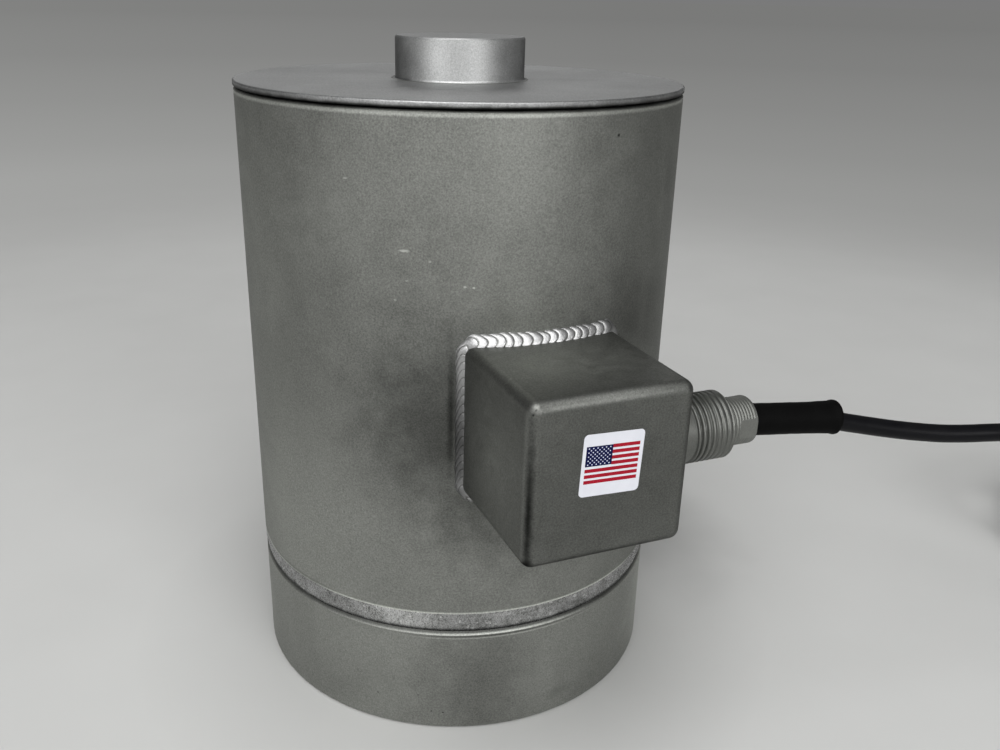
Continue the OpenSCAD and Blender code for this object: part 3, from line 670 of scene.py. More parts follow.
def woven(rows: int, columns: int, looped: bool, first: int = 0) -> Faces:
    """Faces between rows of points that each close on themselves.

    Args:
        rows: number of rows.
        columns: points in each row.
        looped: the last row meets the first; otherwise both ends get a cap.
        first: number of the first point.

    Returns:
        The faces.
    """
    starts = [first + row * columns for row in range(rows)]
    pairs = list(zip(starts, starts[1:] + starts[:1] if looped else starts[1:]))
    faces = [face for low, high in pairs for face in band(low, high, columns)]
    if not looped:
        last = starts[-1]
        faces += [tuple(range(first, first + columns)), tuple(reversed(range(last, last + columns)))]
    return faces


def sharpened(piece: bpy.types.Object, degrees: float) -> bpy.types.Object:
    """Marks the edges that turn more than that as sharp and evens out the normals of the rest.

    Args:
        piece: the piece.
        degrees: the angle from which an edge is sharp.

    Returns:
        The same object.
    """
    piece.data.set_sharp_from_angle(angle=math.radians(degrees))
    modifier = piece.modifiers.new("normals", "WEIGHTED_NORMAL")
    modifier.keep_sharp = True
    return settled(piece)


def stored(piece: bpy.types.Object, name: str, values: np.ndarray) -> None:
    """Stores a number or a vector at each point of a piece.

    Args:
        piece: the piece.
        name: the name to store them under.
        values: a number or a row of three for each point.
    """
    kind = "FLOAT_VECTOR" if values.ndim == 2 else "FLOAT"
    layer = piece.data.attributes.new(name, kind, "POINT")
    layer.data.foreach_set("vector" if values.ndim == 2 else "value", values.astype(np.float32).ravel())


def unit(vectors: np.ndarray) -> np.ndarray:
    """The vectors at length 1."""
    return vectors / np.linalg.norm(vectors, axis=-1, keepdims=True)


def held(value: float) -> float:
    """A share held between 0 and 1."""
    return min(1.0, max(0.0, value))


def eased(share: float) -> float:
    """A share between 0 and 1 that starts and ends gently."""
    return share * share * (3 - 2 * share)


def crosswise(ahead: np.ndarray) -> np.ndarray:
    """A level direction square to the one ahead."""
    return unit(np.cross([0.0, 0.0, 1.0] if abs(ahead[2]) < 0.9 else [1.0, 0.0, 0.0], ahead))


def ride_as(piece: bpy.types.Object, slot: Slot, *nodes: str, finish: Finish | None = None) -> None:
    """Fixes a finished piece to the part's one body.

    Args:
        piece: the finished piece.
        slot: the record's slot that its finish belongs to; not used.
        nodes: the CAD nodes that it stands for.
        finish: its finish, where the mesh doesn't carry one yet.
    """
    if finish is not None:
        carry(piece.data, [finish])
    if nodes:
        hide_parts(*nodes)
    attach(piece, "root")
    faces = len(getattr(piece.data, "polygons", ()))
    log.info("%s: %d faces, stands for %s", piece.name, faces, nodes or "nothing")


def block(low: Point, high: Point, rounding: float = 0.0, segments: int = 0) -> bpy.types.Object:
    """A box between two corners, with rounded edges where it has a rounding.

    Args:
        low: its corner with the smallest coordinates, in millimetres.
        high: the opposite corner.
        rounding: radius of its edges.
        segments: faces across each rounded edge.

    Returns:
        The new object.
    """
    low, high = np.array(low), np.array(high)
    corners = [[x, y, z] for x in (0, 1) for y in (0, 1) for z in (0, 1)]
    faces = [(0, 1, 3, 2), (4, 6, 7, 5), (0, 4, 5, 1), (2, 3, 7, 6), (0, 2, 6, 4), (1, 5, 7, 3)]
    piece = solid("block", low + np.array(corners) * (high - low), faces)
    if rounding:
        modifier = piece.modifiers.new("edges", "BEVEL")
        modifier.width, modifier.segments, modifier.limit_method = rounding * MM, segments, "NONE"
        settled(piece)
    return piece


def cut(piece: bpy.types.Object, cutters: Sequence[bpy.types.Object]) -> None:
    """Takes the cutters out of a piece and deletes them.

    Args:
        piece: the piece to cut.
        cutters: the bodies to take out of it.
    """
    for cutter in cutters:
        modifier = piece.modifiers.new("cut", "BOOLEAN")
        modifier.operation, modifier.solver, modifier.object = "DIFFERENCE", "EXACT", cutter
    settled(piece)
    for cutter in cutters:
        bpy.data.objects.remove(cutter)


@dataclass(frozen=True)
class Tube:
    """Round wires or tubes swept along paths, with rounded ends."""

    name: str
    sides: int = 16
    near: float = 0.3

    def along(self, paths: Sequence[np.ndarray], radius: float, ease: float = 0.3) -> bpy.types.Object:
        """Sweeps a circle along each path.

        Args:
            paths: for each tube, the points of its middle line in millimetres.
            radius: radius of the circle.
            ease: share of the radius by which both ends are rounded off.

        Returns:
            The new object, with the number of the tube stored at each point as strand.
        """
        points, faces, strand = [], [], []
        turn = np.linspace(0, 2 * math.pi, self.sides, endpoint=False)
        far, near = ease * radius, ease * radius * self.near
        for number, path in enumerate(paths):
            path = np.asarray(path, float)
            start, *_, end = unit(np.gradient(path, axis=0))
            path = np.vstack([path[0], path[0] + start * near, path[0] + start * far, path[1:-1],
                              path[-1] - end * far, path[-1] - end * near, path[-1]])
            heading = unit(np.gradient(path, axis=0))
            girth = np.full(len(path), radius)
            girth[[0, -1]] -= far
            girth[[1, -2]] -= near
            side = crosswise(heading[0])
            first = sum(len(rings) for rings in points)
            rings = []
            for place, ahead, r in zip(path, heading, girth):
                side = unit(side - side @ ahead * ahead)
                up = np.cross(ahead, side)
                rings.append(place + r * (np.outer(np.cos(turn), side) + np.outer(np.sin(turn), up)))
            points.append(np.concatenate(rings))
            faces += woven(len(path), self.sides, False, first)
            strand += [number] * len(points[-1])
        piece = sharpened(solid(self.name, np.concatenate(points), faces), 50)
        stored(piece, "strand", np.array(strand, float))
        return piece


@dataclass(frozen=True)
class Lathe:
    """A body turned about a tilted axis, whose radius may change round it, as on a thread or a flat."""

    name: str
    origin: Point
    axis: Point
    sides: int = 144

    def turned(self, stations: Sequence[tuple[float, float]], swell: Swell | None = None,
               sharp: float = 28.0) -> bpy.types.Object:
        """Turns a closed outline.

        Args:
            stations: points of the outline as distance along the axis and radius, in order round it.
            swell: gives the radius from a station's distance along, its radius and the angles.
            sharp: angle in degrees past which an edge is kept sharp.

        Returns:
            The new object.
        """
        ahead = unit(np.array(self.axis, float))
        side = crosswise(ahead)
        turn = np.linspace(0, 2 * math.pi, self.sides, endpoint=False)
        spokes = np.outer(np.cos(turn), side) + np.outer(np.sin(turn), np.cross(ahead, side))
        rings = []
        for along, radius in stations:
            r = np.full(self.sides, radius) if swell is None else swell(along, radius, turn)
            rings.append(np.array(self.origin, float) + along * ahead + r[:, None] * spokes)
        piece = solid(self.name, np.concatenate(rings), woven(len(rings), self.sides, True))
        return sharpened(piece, sharp)

    def rod(self, length: float, radius: float, thin: float = 0.001) -> bpy.types.Object:
        """A plain rod, closed but for a hair's width along its axis."""
        return self.turned([(0, thin), (0, radius), (length, radius), (length, thin)])


@dataclass
class WeldRipples:
    """The shared Geometry Nodes group that raises ripples on a weld's smooth surface.

    A mesh that it works on carries, at each point: run, the distance along the weld in ripples; across, from
    -1 at one toe to 1 at the other; out, the direction away from the weld's root; hold, the relief's share.
    """

    tree: ShapeTree = field(init=False)
    drift_mm: float = 9.0
    lump_mm: float = 4.0
    grain_mm: float = 1.3
    shift: Point = (0.37, 0.11, 0.53)

    def __post_init__(self) -> None:
        """Builds the group."""
        t = self.tree = ShapeTree("weld_ripples", (
            "Height", "Bow", "Twist", "Wander", "Skew", "Unevenness", "Grain", "Count", "Seed"))
        given = t.given
        place = t.given_by("GeometryNodeInputPosition")
        run, across, hold = t.attribute("run"), t.attribute("across"), t.attribute("hold")
        moved = t.vector("ADD", place, self.shift)
        drift = t.swing(t.noise(moved, self.drift_mm, 1.0), given["Wander"])
        bow = t.times(given["Bow"], t.math("SUBTRACT", 1.0, t.times(across, across)))
        phase = t.add(run, bow, t.times(given["Twist"], across), drift)
        number = t.math("FLOORED_MODULO", t.math("FLOOR", phase), given["Count"])
        seed = t.add(number, given["Seed"])
        chance = t.given_by("ShaderNodeTexWhiteNoise", {"W": seed}, noise_dimensions="1D")
        within = t.math("POWER", t.math("FRACT", phase), given["Skew"])
        offset = t.math("SUBTRACT", t.times(within, 2.0), 1.0)
        dome = t.math("SQRT", t.math("MAXIMUM", t.math("SUBTRACT", 1.0, t.times(offset, offset)), 0.0))
        uneven = t.math("SUBTRACT", 1.0, t.times(given["Unevenness"], chance))
        grain = t.swing(t.noise(place, self.grain_mm, 3.0, 0.6), given["Grain"])
        lumps = t.swing(t.noise(moved, self.lump_mm, 1.0), given["Grain"])
        height = t.times(t.add(t.times(t.times(dome, uneven), given["Height"]), grain, lumps), hold)
        rise = t.scaled(t.attribute("out", "FLOAT_VECTOR"), height)
        inputs = {"Geometry": given["Geometry"], "Offset": rise}
        inputs = {"Geometry": t.given_by("GeometryNodeSetPosition", inputs), "Name": "lobe", "Value": dome}
        t.ends_in(t.given_by("GeometryNodeStoreNamedAttribute", inputs, data_type="FLOAT", domain="POINT"))

    def lay_on(self, piece: bpy.types.Object, finish: WeldSteel, fields: dict[str, np.ndarray],
               sizes: dict[str, float]) -> None:
        """Raises the ripples on a weld.

        Args:
            piece: the weld's smooth body.
            finish: its finish.
            fields: what the group reads at each point, by name.
            sizes: values for the group's inputs.
        """
        for name, values in fields.items():
            stored(piece, name, values)
        self.tree.shape(piece, finish, sizes)


class BarPart(IntEnum):
    """Parts of the bar that base, column and button are turned from, numbered as their finishes."""

    COLUMN = 0
    BASE = 1
    BUTTON = 2
    CROWN = 3


@dataclass
class CanBody:
    """The welded can: base and column, tube, lid and the welds between them."""

    ripples: WeldRipples
    body_r: float = 76.2
    inner_r: float = 72.25
    girth_low: float = 41.0
    girth_h: float = 7.5
    girth_root: float = 0.9
    girth_toe: float = 0.35
    girth_crown: float = 0.22
    girth_pitch: float = 2.4
    girth_steps: int = 1600
    girth_face: int = 16
    button_low: float = 214.6
    base_high: float = 41.5
    rim_margin: float = 0.5
    flat_from: float = 0.9

    def build(self) -> None:
        """Dresses the turned parts and lays the girth weld."""
        self.dress_column()
        dress(BlastedSteel("tube_steel", 0.25, spread=0.36, cloud=0.28, grain=0.85, rough=(0.46, 0.56),
                           marks=TUBE_MARKS, shades=TUBE_SHADES), "casing_tube")
        dress(BlastedSteel("lid_steel", 0.37, spread=0.36, cloud_mm=30.0, cloud=0.28, grain=0.9,
                           rough=(0.42, 0.52), tint=COOL, shades=LID_SHADES), "top_lid")
        # The seam weld is near black: painted shade in the groove between lid and tube.
        dress(BlastedSteel("seam_shade_steel", 0.03, rough=(0.5, 0.6)), "lid_seam_weld")
        dress(BlastedSteel("button_weld_steel", 0.24, rough=(0.46, 0.56)), "button_weld")
        for node in ("guide_support_ring", "guide_clamp_ring"):
            dress(TurnedSteel(f"{node}_steel", 0.5), node)
        dress(TurnedSteel("diaphragm_steel", 0.6, rings_mm=0.6), "guide_diaphragm")
        self.girth_weld()

    def dress_column(self) -> None:
        """Gives base, column and button their own finishes, by the height of each face."""
        finishes = {
            BarPart.COLUMN: TurnedSteel("column_steel", 0.55),
            BarPart.BASE: BlastedSteel("base_steel", 0.28, spread=0.36, cloud_mm=40.0, cloud=0.25, grain=0.85,
                                       rough=(0.5, 0.6), edge=0.85, marks=BASE_MARKS, shades=BASE_SHADES),
            BarPart.BUTTON: BlastedSteel("button_steel", 0.49, spread=0.3, cloud_mm=30.0, cloud=0.2,
                                         grain_mm=0.45, grain=0.8, rough=(0.44, 0.54), edge=0.25, tint=COOL,
                                         shades=BUTTON_SHADES),
            BarPart.CROWN: BlastedSteel("button_top_steel", 0.32, cloud=0.2, grain=0.9, rough=(0.42, 0.52),
                                        tint=COOL),
        }
        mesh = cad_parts["load_column"].data
        carry(mesh, [finishes[part] for part in BarPart])
        for face in mesh.polygons:
            face.material_index = self.part_of(face)

    def part_of(self, face: bpy.types.MeshPolygon) -> BarPart:
        """The part of the bar that a face belongs to.

        Args:
            face: a face of the bar's mesh.

        Returns:
            The part, which is also its material's number.
        """
        x, y, z = (c / MM for c in face.center)
        if z > self.button_low:
            return BarPart.CROWN if face.normal.z > self.flat_from else BarPart.BUTTON
        outside = math.hypot(x, y) > self.inner_r + self.rim_margin or abs(z) < 1.0
        return BarPart.BASE if z < self.base_high and outside else BarPart.COLUMN

    def girth_weld(self) -> None:
        """Weld between tube and base: a low broad crown with fine ripples."""
        steps, face = self.girth_steps, self.girth_face
        turn = np.linspace(0, 2 * math.pi, steps, endpoint=False)
        share = np.linspace(0, 1, face)
        crown = self.body_r - self.girth_root + (self.girth_root - self.girth_toe) * share
        crown += self.girth_crown * np.sin(math.pi * share)
        radius = np.concatenate([crown, [self.inner_r, self.inner_r]])
        height = np.concatenate([self.girth_low + self.girth_h * share,
                                 [self.girth_low + self.girth_h, self.girth_low]])
        spokes = np.stack([np.cos(turn), np.sin(turn), 0 * turn], axis=1)
        points = (spokes[:, None, :] * radius[None, :, None]).reshape(-1, 3)
        points[:, 2] = np.tile(height, steps)
        piece = solid("girth_weld", points, woven(steps, face + 2, True))
        count = round(2 * math.pi * self.body_r / self.girth_pitch)
        across = np.concatenate([2 * share - 1, [1.0, -1.0]])
        hold = np.concatenate([np.clip(6 * share * (1 - share), 0, 1) ** 0.7, [0.0, 0.0]])
        finish = WeldSteel("girth_steel", 0.09, 0.38, rough=(0.16, 0.36), speckle=1.1, ripple=0.3, glints=0.3,
                           shades=GIRTH_SHADES)
        self.ripples.lay_on(piece, finish, {
            "run": np.repeat(turn / (2 * math.pi) * count, face + 2),
            "across": np.tile(across, steps),
            "hold": np.tile(hold, steps),
            "out": np.repeat(spokes, face + 2, axis=0),
        }, {
            "Height": 0.07 * MM, "Bow": 0.9, "Twist": 0.35, "Wander": 2.6, "Skew": 0.8, "Unevenness": 0.8,
            "Grain": 0.95 * MM, "Count": float(count), "Seed": 5.0,
        })
        ride_as(sharpened(piece, 60), Slot.WELD, "base_girth_weld")


@dataclass(frozen=True)
class Bars:
    """Equal bars of ink in rows and columns, placed from the film's middle and proud of its face."""

    name: str
    width: float
    height: float
    left: float
    base: float
    rows: int = 1
    columns: int = 1
    row_step: float = 0.0
    column_step: float = 0.0
    depth: float = 0.02
    proud: float = 0.01


@dataclass
class JunctionBox:
    """The box on the can's side, its ripple weld and its sticker."""

    ripples: WeldRipples
    body_r: float = 76.2
    gap: float = 0.05
    width: float = 50.8
    height: float = 50.4
    middle_z: float = 119.9
    front: float = -120.5
    wall: float = 3.2
    edge: float = 3.4
    hub_bore: float = 9.55
    hub_y: float = -99.8
    hub_z: float = 119.9
    weld_top: float = 2.75
    weld_side: float = 1.75
    leg_wobble: float = 0.035
    side_twist: float = 0.9
    side_hold: float = 0.45
    corner_dip: float = 0.3
    weld_flat: float = 0.12
    ripple_count: int = 71
    ripple_steps: int = 18
    face_points: int = 20
    film_x: float = -0.3
    film_z: float = 124.5
    film_y: float = -120.65
    film_turn: float = 2.6
    print_scale: float = 0.975

    def build(self) -> None:
        """Builds the box, its weld and the sticker's print."""
        self.shell()
        self.fillet_weld()
        self.print_on_film()
        dress(Moulded("sticker_white", (0.68, 0.69, 0.74), (0.63, 0.64, 0.69), rough=(0.4, 0.5), gleam=0.3,
                      skin_depth=0.01), "box_sticker")
        dress(BlastedSteel("hub_weld_steel", 0.6, rough=(0.3, 0.4)), "hub_weld")

    def shell(self) -> None:
        """The hollow box: rounded edges, its back cut to the tube, its side bored for the gland."""
        half_w, half_h, z = self.width / 2, self.height / 2, self.middle_z
        piece = block((-half_w, self.front, z - half_h), (half_w, -self.body_r / 2, z + half_h), self.edge, 8)
        piece.name = "junction_box_shell"
        inner = half_w - self.wall
        cavity = block((-inner, self.front + self.wall, z - half_h + self.wall),
                       (inner, 0.0, z + half_h - self.wall))
        saddle = Lathe("saddle", (0, 0, z - self.height), (0, 0, 1), 240)
        bore = Lathe("bore", (inner - 1, self.hub_y, self.hub_z), (1, 0, 0), 96)
        cut(piece, [cavity, saddle.rod(2 * self.height, self.body_r + 0.1),
                    bore.rod(self.wall + 2, self.hub_bore)])
        finish = BlastedSteel("box_blasted", 0.165, spread=0.36, cloud_mm=24.0, cloud=0.2, grain=0.85,
                              rough=(0.42, 0.52), bump=0.3, marks=BOX_MARKS, shades=BOX_SHADES)
        ride_as(sharpened(piece, 35), Slot.BOX, "junction_box", finish=finish)

    def outline(self, share: np.ndarray) -> tuple[np.ndarray, np.ndarray]:
        """Walks the box's outline seen from the front.

        Args:
            share: distances along it, from 0 at the bottom of its right side to 1, counter-clockwise.

        Returns:
            The points and the outward normals, as x and z about the box's middle.
        """
        wide, tall, corner = self.width / 2 - self.edge, self.height / 2 - self.edge, math.pi / 2 * self.edge
        length = 4 * (wide + tall + corner)
        points, normals = np.zeros((len(share), 2)), np.zeros((len(share), 2))
        for i, s in enumerate(share * length):
            for quarter in range(4):
                along, out = (tall, wide) if quarter % 2 == 0 else (wide, tall)
                if s < 2 * along + corner or quarter == 3:
                    break
                s -= 2 * along + corner
            angle = max(0.0, (s - 2 * along) / corner * math.pi / 2)
            normal = np.array([math.cos(angle), math.sin(angle)])
            point = np.array([out, along if angle else s - along]) + self.edge * normal
            for _ in range(quarter):
                point, normal = np.array([-point[1], point[0]]), np.array([-normal[1], normal[0]])
            points[i], normals[i] = point, normal
        return points, normals

    def fillet_weld(self) -> None:
        """The stacked ripple fillet weld on the line where the rounded box meets the tube."""
        steps, face = self.ripple_count * self.ripple_steps, self.face_points
        share = np.arange(steps) / steps
        place, normal = self.outline(share)
        level = np.abs(normal[:, 1])
        leg = self.weld_side + (self.weld_top - self.weld_side) * level
        wobble = sum(np.sin(2 * math.pi * (share * n + o)) for n, o in ((5, 0.1), (11, 0.6), (23, 0.35)))
        dip = self.corner_dip * (2 * normal[:, 0] * normal[:, 1]) ** 2
        leg = leg * (1 + self.leg_wobble * wobble) * (1 - dip)

        def saddle(out: np.ndarray, up: np.ndarray) -> np.ndarray:
            """Points that far out from the box's wall and up from the tube.

            Args:
                out: distances from the box's wall.
                up: distances from the tube.

            Returns:
                The points, one row for each place of the outline.
            """
            x = place[:, None, 0] + out * normal[:, None, 0]
            z = self.middle_z + place[:, None, 1] + out * normal[:, None, 1]
            radius = self.body_r + up
            return np.stack([x, -np.sqrt(radius * radius - x * x), z], axis=-1)

        angle = np.linspace(0, math.pi / 2, face)
        reach = leg[:, None] * (1 - self.weld_flat * np.sin(2 * angle))
        out, up = self.gap + reach * np.cos(angle), self.gap + reach * np.sin(angle)
        skin = saddle(out, up)
        away = unit(saddle(out + 0.01 * np.cos(angle), up + 0.01 * np.sin(angle)) - skin)
        root = saddle(np.full((steps, 1), self.gap), np.full((steps, 1), self.gap))
        points = np.concatenate([skin, root], axis=1)
        piece = solid("ripple_weld", points.reshape(-1, 3), woven(steps, face + 1, True))
        across = np.concatenate([np.linspace(-1, 1, face), [0.0]])
        kept = self.side_hold + (1 - self.side_hold) * level[:, None]
        hold = np.concatenate([np.ones((steps, face)) * kept, np.zeros((steps, 1))], axis=1)
        run = share[:, None] * self.ripple_count + self.side_twist * (1 - level[:, None]) * across
        finish = WeldSteel("ripple_steel", 0.17, 0.5, rough=(0.36, 0.5), speckle=0.3, glints=0.15,
                           shades=BOX_WELD_SHADES)
        self.ripples.lay_on(piece, finish, {
            "run": run.ravel(),
            "across": np.tile(across, steps),
            "hold": hold.ravel(),
            "out": np.concatenate([away, np.zeros((steps, 1, 3))], axis=1).reshape(-1, 3),
        }, {
            "Height": 0.5 * MM, "Bow": 0.5, "Twist": 0.1, "Wander": 0.9, "Skew": 0.7, "Unevenness": 0.25,
            "Grain": 0.08 * MM, "Count": float(self.ripple_count), "Seed": 11.0,
        })
        ride_as(sharpened(piece, 75), Slot.WELD, "box_fillet_weld")

    def print_on_film(self) -> None:
        """Fields of colour on the sticker: a dark block with rows of dots, and stripes."""
        tree = bar_rows()
        thin = {"skin_depth": 0.005}
        red = Moulded("print_red", (0.34, 0.004, 0.019), (0.28, 0.003, 0.014), gleam=0.15, **thin)
        navy = Moulded("print_navy", (0.004, 0.006, 0.05), (0.003, 0.004, 0.036), gleam=0.06, **thin)
        white = Moulded("print_white", (0.6, 0.63, 0.76), (0.55, 0.58, 0.72), gleam=0.15, **thin)
        field_x, field_z, right = -4.38, 2.85, 8.4
        lefts = (-0.2,) * 4 + (-8.5,) * 3
        groups = []
        for i, left in enumerate(lefts):
            size = (right - left, 1.08, (right + left) / 2, 5.45 - 1.75 * i)
            groups.append((Bars(f"print_stripe_{i + 1}", *size), red))
        groups.append((Bars("print_block", 8.35, 6.15, field_x, field_z, proud=0.012), navy))
        for word, rows in (("wide", 5), ("narrow", 4)):
            grid = (rows, rows + 1, 1.24, 1.34)
            dots = Bars(f"print_dots_{word}", 0.34, 0.34, field_x, field_z, *grid, proud=0.03)
            groups.append((dots, white))
        pieces = [self.printed(tree, bars, ink) for bars, ink in groups]
        ride_as(joined("sticker_print", pieces), Slot.FILM)

    def printed(self, tree: ShapeTree, bars: Bars, ink: Moulded) -> bpy.types.Object:
        """Lays one group of bars on the film, turned with the sticker.

        Args:
            tree: the group that makes bars.
            bars: the bars.
            ink: their finish.

        Returns:
            The new object.
        """
        piece = solid(bars.name, np.zeros((0, 3)), [])
        sizes = {"Width": bars.width, "Height": bars.height, "Depth": bars.depth, "Row Step": bars.row_step,
                 "Column Step": bars.column_step, "Left": bars.left, "Base": bars.base}
        values = {label: size * self.print_scale * MM for label, size in sizes.items()}
        tree.shape(piece, ink, {**values, "Rows": bars.rows, "Columns": bars.columns})
        turn = Matrix.Rotation(math.radians(self.film_turn), 4, "Y")
        place = Matrix.Translation((self.film_x * MM, (self.film_y - bars.proud) * MM, self.film_z * MM))
        piece.data.transform(place @ turn)
        return piece


def bar_rows() -> ShapeTree:
    """The Geometry Nodes group that lays out equal small slabs in rows and columns, facing -Y.

    Returns:
        The group.
    """
    t = ShapeTree("bar_rows", ("Width", "Height", "Depth", "Row Step", "Column Step", "Left", "Base"),
                  ("Rows", "Columns"))
    given = t.given
    size = t.given_by("ShaderNodeCombineXYZ", {0: given["Width"], 1: given["Depth"], 2: given["Height"]})
    slab = t.given_by("GeometryNodeMeshCube", {"Size": size})
    wide = t.times(given["Column Step"], t.math("SUBTRACT", given["Columns"], 1.0))
    tall = t.times(given["Row Step"], t.math("SUBTRACT", given["Rows"], 1.0))
    grid = t.given_by("GeometryNodeMeshGrid", {"Size X": wide, "Size Y": tall, "Vertices X": given["Columns"],
                                               "Vertices Y": given["Rows"]})
    dots = t.given_by("GeometryNodeMeshToPoints", {0: grid})
    x, y, _ = t.parts(t.given_by("GeometryNodeInputPosition"))
    inputs = {0: t.add(x, given["Left"]), 1: 0.0, 2: t.add(y, given["Base"])}
    place = t.given_by("ShaderNodeCombineXYZ", inputs)
    upright = t.given_by("GeometryNodeSetPosition", {"Geometry": dots, "Position": place})
    t.ends_in(t.given_by("GeometryNodeInstanceOnPoints", {"Points": upright, "Instance": slab}))
    return t


def joined(name: str, pieces: list[bpy.types.Object]) -> bpy.types.Object:
    """Joins pieces into the first and names it.

    Args:
        name: the name of the whole.
        pieces: the pieces, of which the first stays.

    Returns:
        The joined object.
    """
    with bpy.context.temp_override(active_object=pieces[0], selected_editable_objects=pieces):
        bpy.ops.object.join()
    pieces[0].name = pieces[0].data.name = name
    return pieces[0]


def carry(mesh: bpy.types.Mesh, finishes: Sequence[Finish]) -> None:
    """Makes these finishes the mesh's materials, in their order.

    Args:
        mesh: the mesh.
        finishes: the finishes.
    """
    mesh.materials.clear()
    for finish in finishes:
        mesh.materials.append(finish.material())


def dress(finish: Finish, *nodes: str) -> None:
    """Gives CAD nodes their finish.

    Args:
        finish: the finish, whose material each node gets its own copy of.
        nodes: names of the nodes.
    """
    for node in nodes:
        carry(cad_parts[node].data, [finish])
        log.info("%s dressed in %s", node, finish.name)


# Marks on the tube: a dark pit and short scratches painted lighter, partly wear and partly a painted highlight.
TUBE_MARKS = (
    Mark((22.3, -72.9, 204.87), 0.65, 0.02),
    Mark((-41.1, -64.2, 173.0), 0.5, 0.8, 4.0, 0.5),
    Mark((-25.0, -72.0, 162.9), 0.45, 0.85, 1.5, 0.5),
    Mark((-22.5, -72.8, 162.6), 0.45, 0.85, 1.2, 0.5),
    Mark((-34.4, -68.0, 170.2), 0.4, 0.8, 1.5, 0.35),
    Mark((-54.9, -52.9, 192.7), 0.4, 0.8, 2.0, 0.35),
    Mark((-40.4, -64.7, 164.1), 0.4, 0.8, 1.5, 0.35),
    Mark((-43.5, -62.6, 158.0), 0.4, 0.8, 1.5, 0.35),
)
# Painted light and shade on the tube: the box's painted shadow to its left, above its right end and below it, a
# band of painted shade round the middle, painted light low on the left and along the left edge, the black band
# of painted shade under the lid's rim, painted highlights on the top chamfer and along the lower edge with that
# line darkened towards both ends, and a painted shadow left of the weld's side run.
TUBE_SHADES = (
    Shade((-32.0, -70.0, 118.0), (34.0, 60.0, 50.0), 0.4),
    Shade((34.0, -70.0, 146.0), (30.0, 60.0, 24.0), 0.7),
    Shade((0.0, -76.0, 84.0), (48.0, 60.0, 32.0), 0.55),
    Shade((-40.0, -60.0, 128.0), (160.0, 160.0, 60.0), 0.86),
    Shade((-72.0, -30.0, 66.0), (46.0, 60.0, 66.0), 1.35),
    Shade((0.0, 0.0, 212.9), (900.0, 900.0, 1.0), 0.08),
    Shade((0.0, 0.0, 211.4), (900.0, 900.0, 0.9), 1.9),
    Shade((0.0, 0.0, 48.6), (900.0, 900.0, 0.8), 2.7),
    Shade((60.0, -46.0, 48.6), (38.0, 46.0, 1.6), 0.3),
    Shade((-70.0, -30.0, 48.6), (26.0, 46.0, 1.6), 0.45),
    Shade((-76.0, -12.0, 150.0), (12.0, 50.0, 120.0), 1.25),
    Shade((-28.6, -70.5, 121.0), (1.8, 8.0, 30.0), 0.35),
)
# Painted light and shade on the button: a painted highlight at its front left, painted shade at its left and
# right edges and on both sides of its foot.
BUTTON_SHADES = (
    Shade((-14.5, -17.0, 222.0), (7.0, 10.0, 14.0), 1.3),
    Shade((-22.2, 0.0, 222.0), (4.0, 12.0, 20.0), 0.6),
    Shade((20.5, -8.0, 222.0), (9.0, 18.0, 20.0), 0.55),
    Shade((-24.0, 0.0, 215.2), (9.0, 26.0, 1.0), 0.35),
    Shade((24.0, 0.0, 215.2), (9.0, 26.0, 1.0), 0.35),
)
# Painted shade on the lower half of the lid's rounded rim.
LID_SHADES = (Shade((0.0, 0.0, 213.2), (900.0, 900.0, 1.35), 0.04),)
# Painted light and shade on the base: a darker patch at the front that is a painted reflection, painted light
# at its right end, painted shade in the groove at its top, and two painted highlight lines with painted shade
# between them on its chamfer.
BASE_SHADES = (
    Shade((-18.0, -74.0, 18.0), (30.0, 60.0, 60.0), 0.74),
    Shade((66.0, -36.0, 20.0), (30.0, 60.0, 60.0), 1.4),
    Shade((0.0, 0.0, 40.7), (900.0, 900.0, 1.2), 0.35),
    Shade((-10.0, -75.0, 39.9), (48.0, 40.0, 0.6), 2.2),
    Shade((-10.0, -75.0, 39.1), (48.0, 40.0, 0.5), 0.5),
    Shade((-10.0, -75.0, 38.4), (48.0, 40.0, 0.5), 1.7),
)
# Painted light and shade on the girth weld: painted shade in the groove along its lower toe and painted light
# on its front left and middle.
GIRTH_SHADES = (
    Shade((0.0, 0.0, 41.3), (900.0, 900.0, 1.5), 0.1),
    Shade((-43.0, -62.0, 46.0), (20.0, 40.0, 9.0), 1.9),
    Shade((-6.0, -76.0, 46.0), (30.0, 30.0, 9.0), 1.3),
)
# Painted shadow of the cell on the floor behind it to the right, and painted light that lifts part of the
# coil's shadow.
FLOOR_SHADES = (
    Shade((101.0, 40.0, 0.0), (60.0, 90.0, 60.0), 0.62),
    Shade((293.7, -29.5, 0.0), (24.0, 34.0, 60.0), 1.35),
)
BASE_MARKS = (
    Mark((-50.3, -57.0, 11.7), 0.45, 0.08),
    Mark((-38.3, -65.7, 13.7), 0.35, 0.1),
    Mark((-34.1, -67.9, 7.2), 0.4, 0.06),
    Mark((-30.4, -69.7, 6.8), 0.45, 0.05),
    Mark((12.0, -75.0, 8.0), 3.2, 0.2, 2.2, 0.45),
)
# Painted shade on the weld's left run and at its top right corner.
BOX_WELD_SHADES = (
    Shade((-27.0, -74.0, 112.0), (8.0, 30.0, 42.0), 0.2),
    Shade((27.0, -74.0, 146.0), (12.0, 30.0, 12.0), 0.6),
)
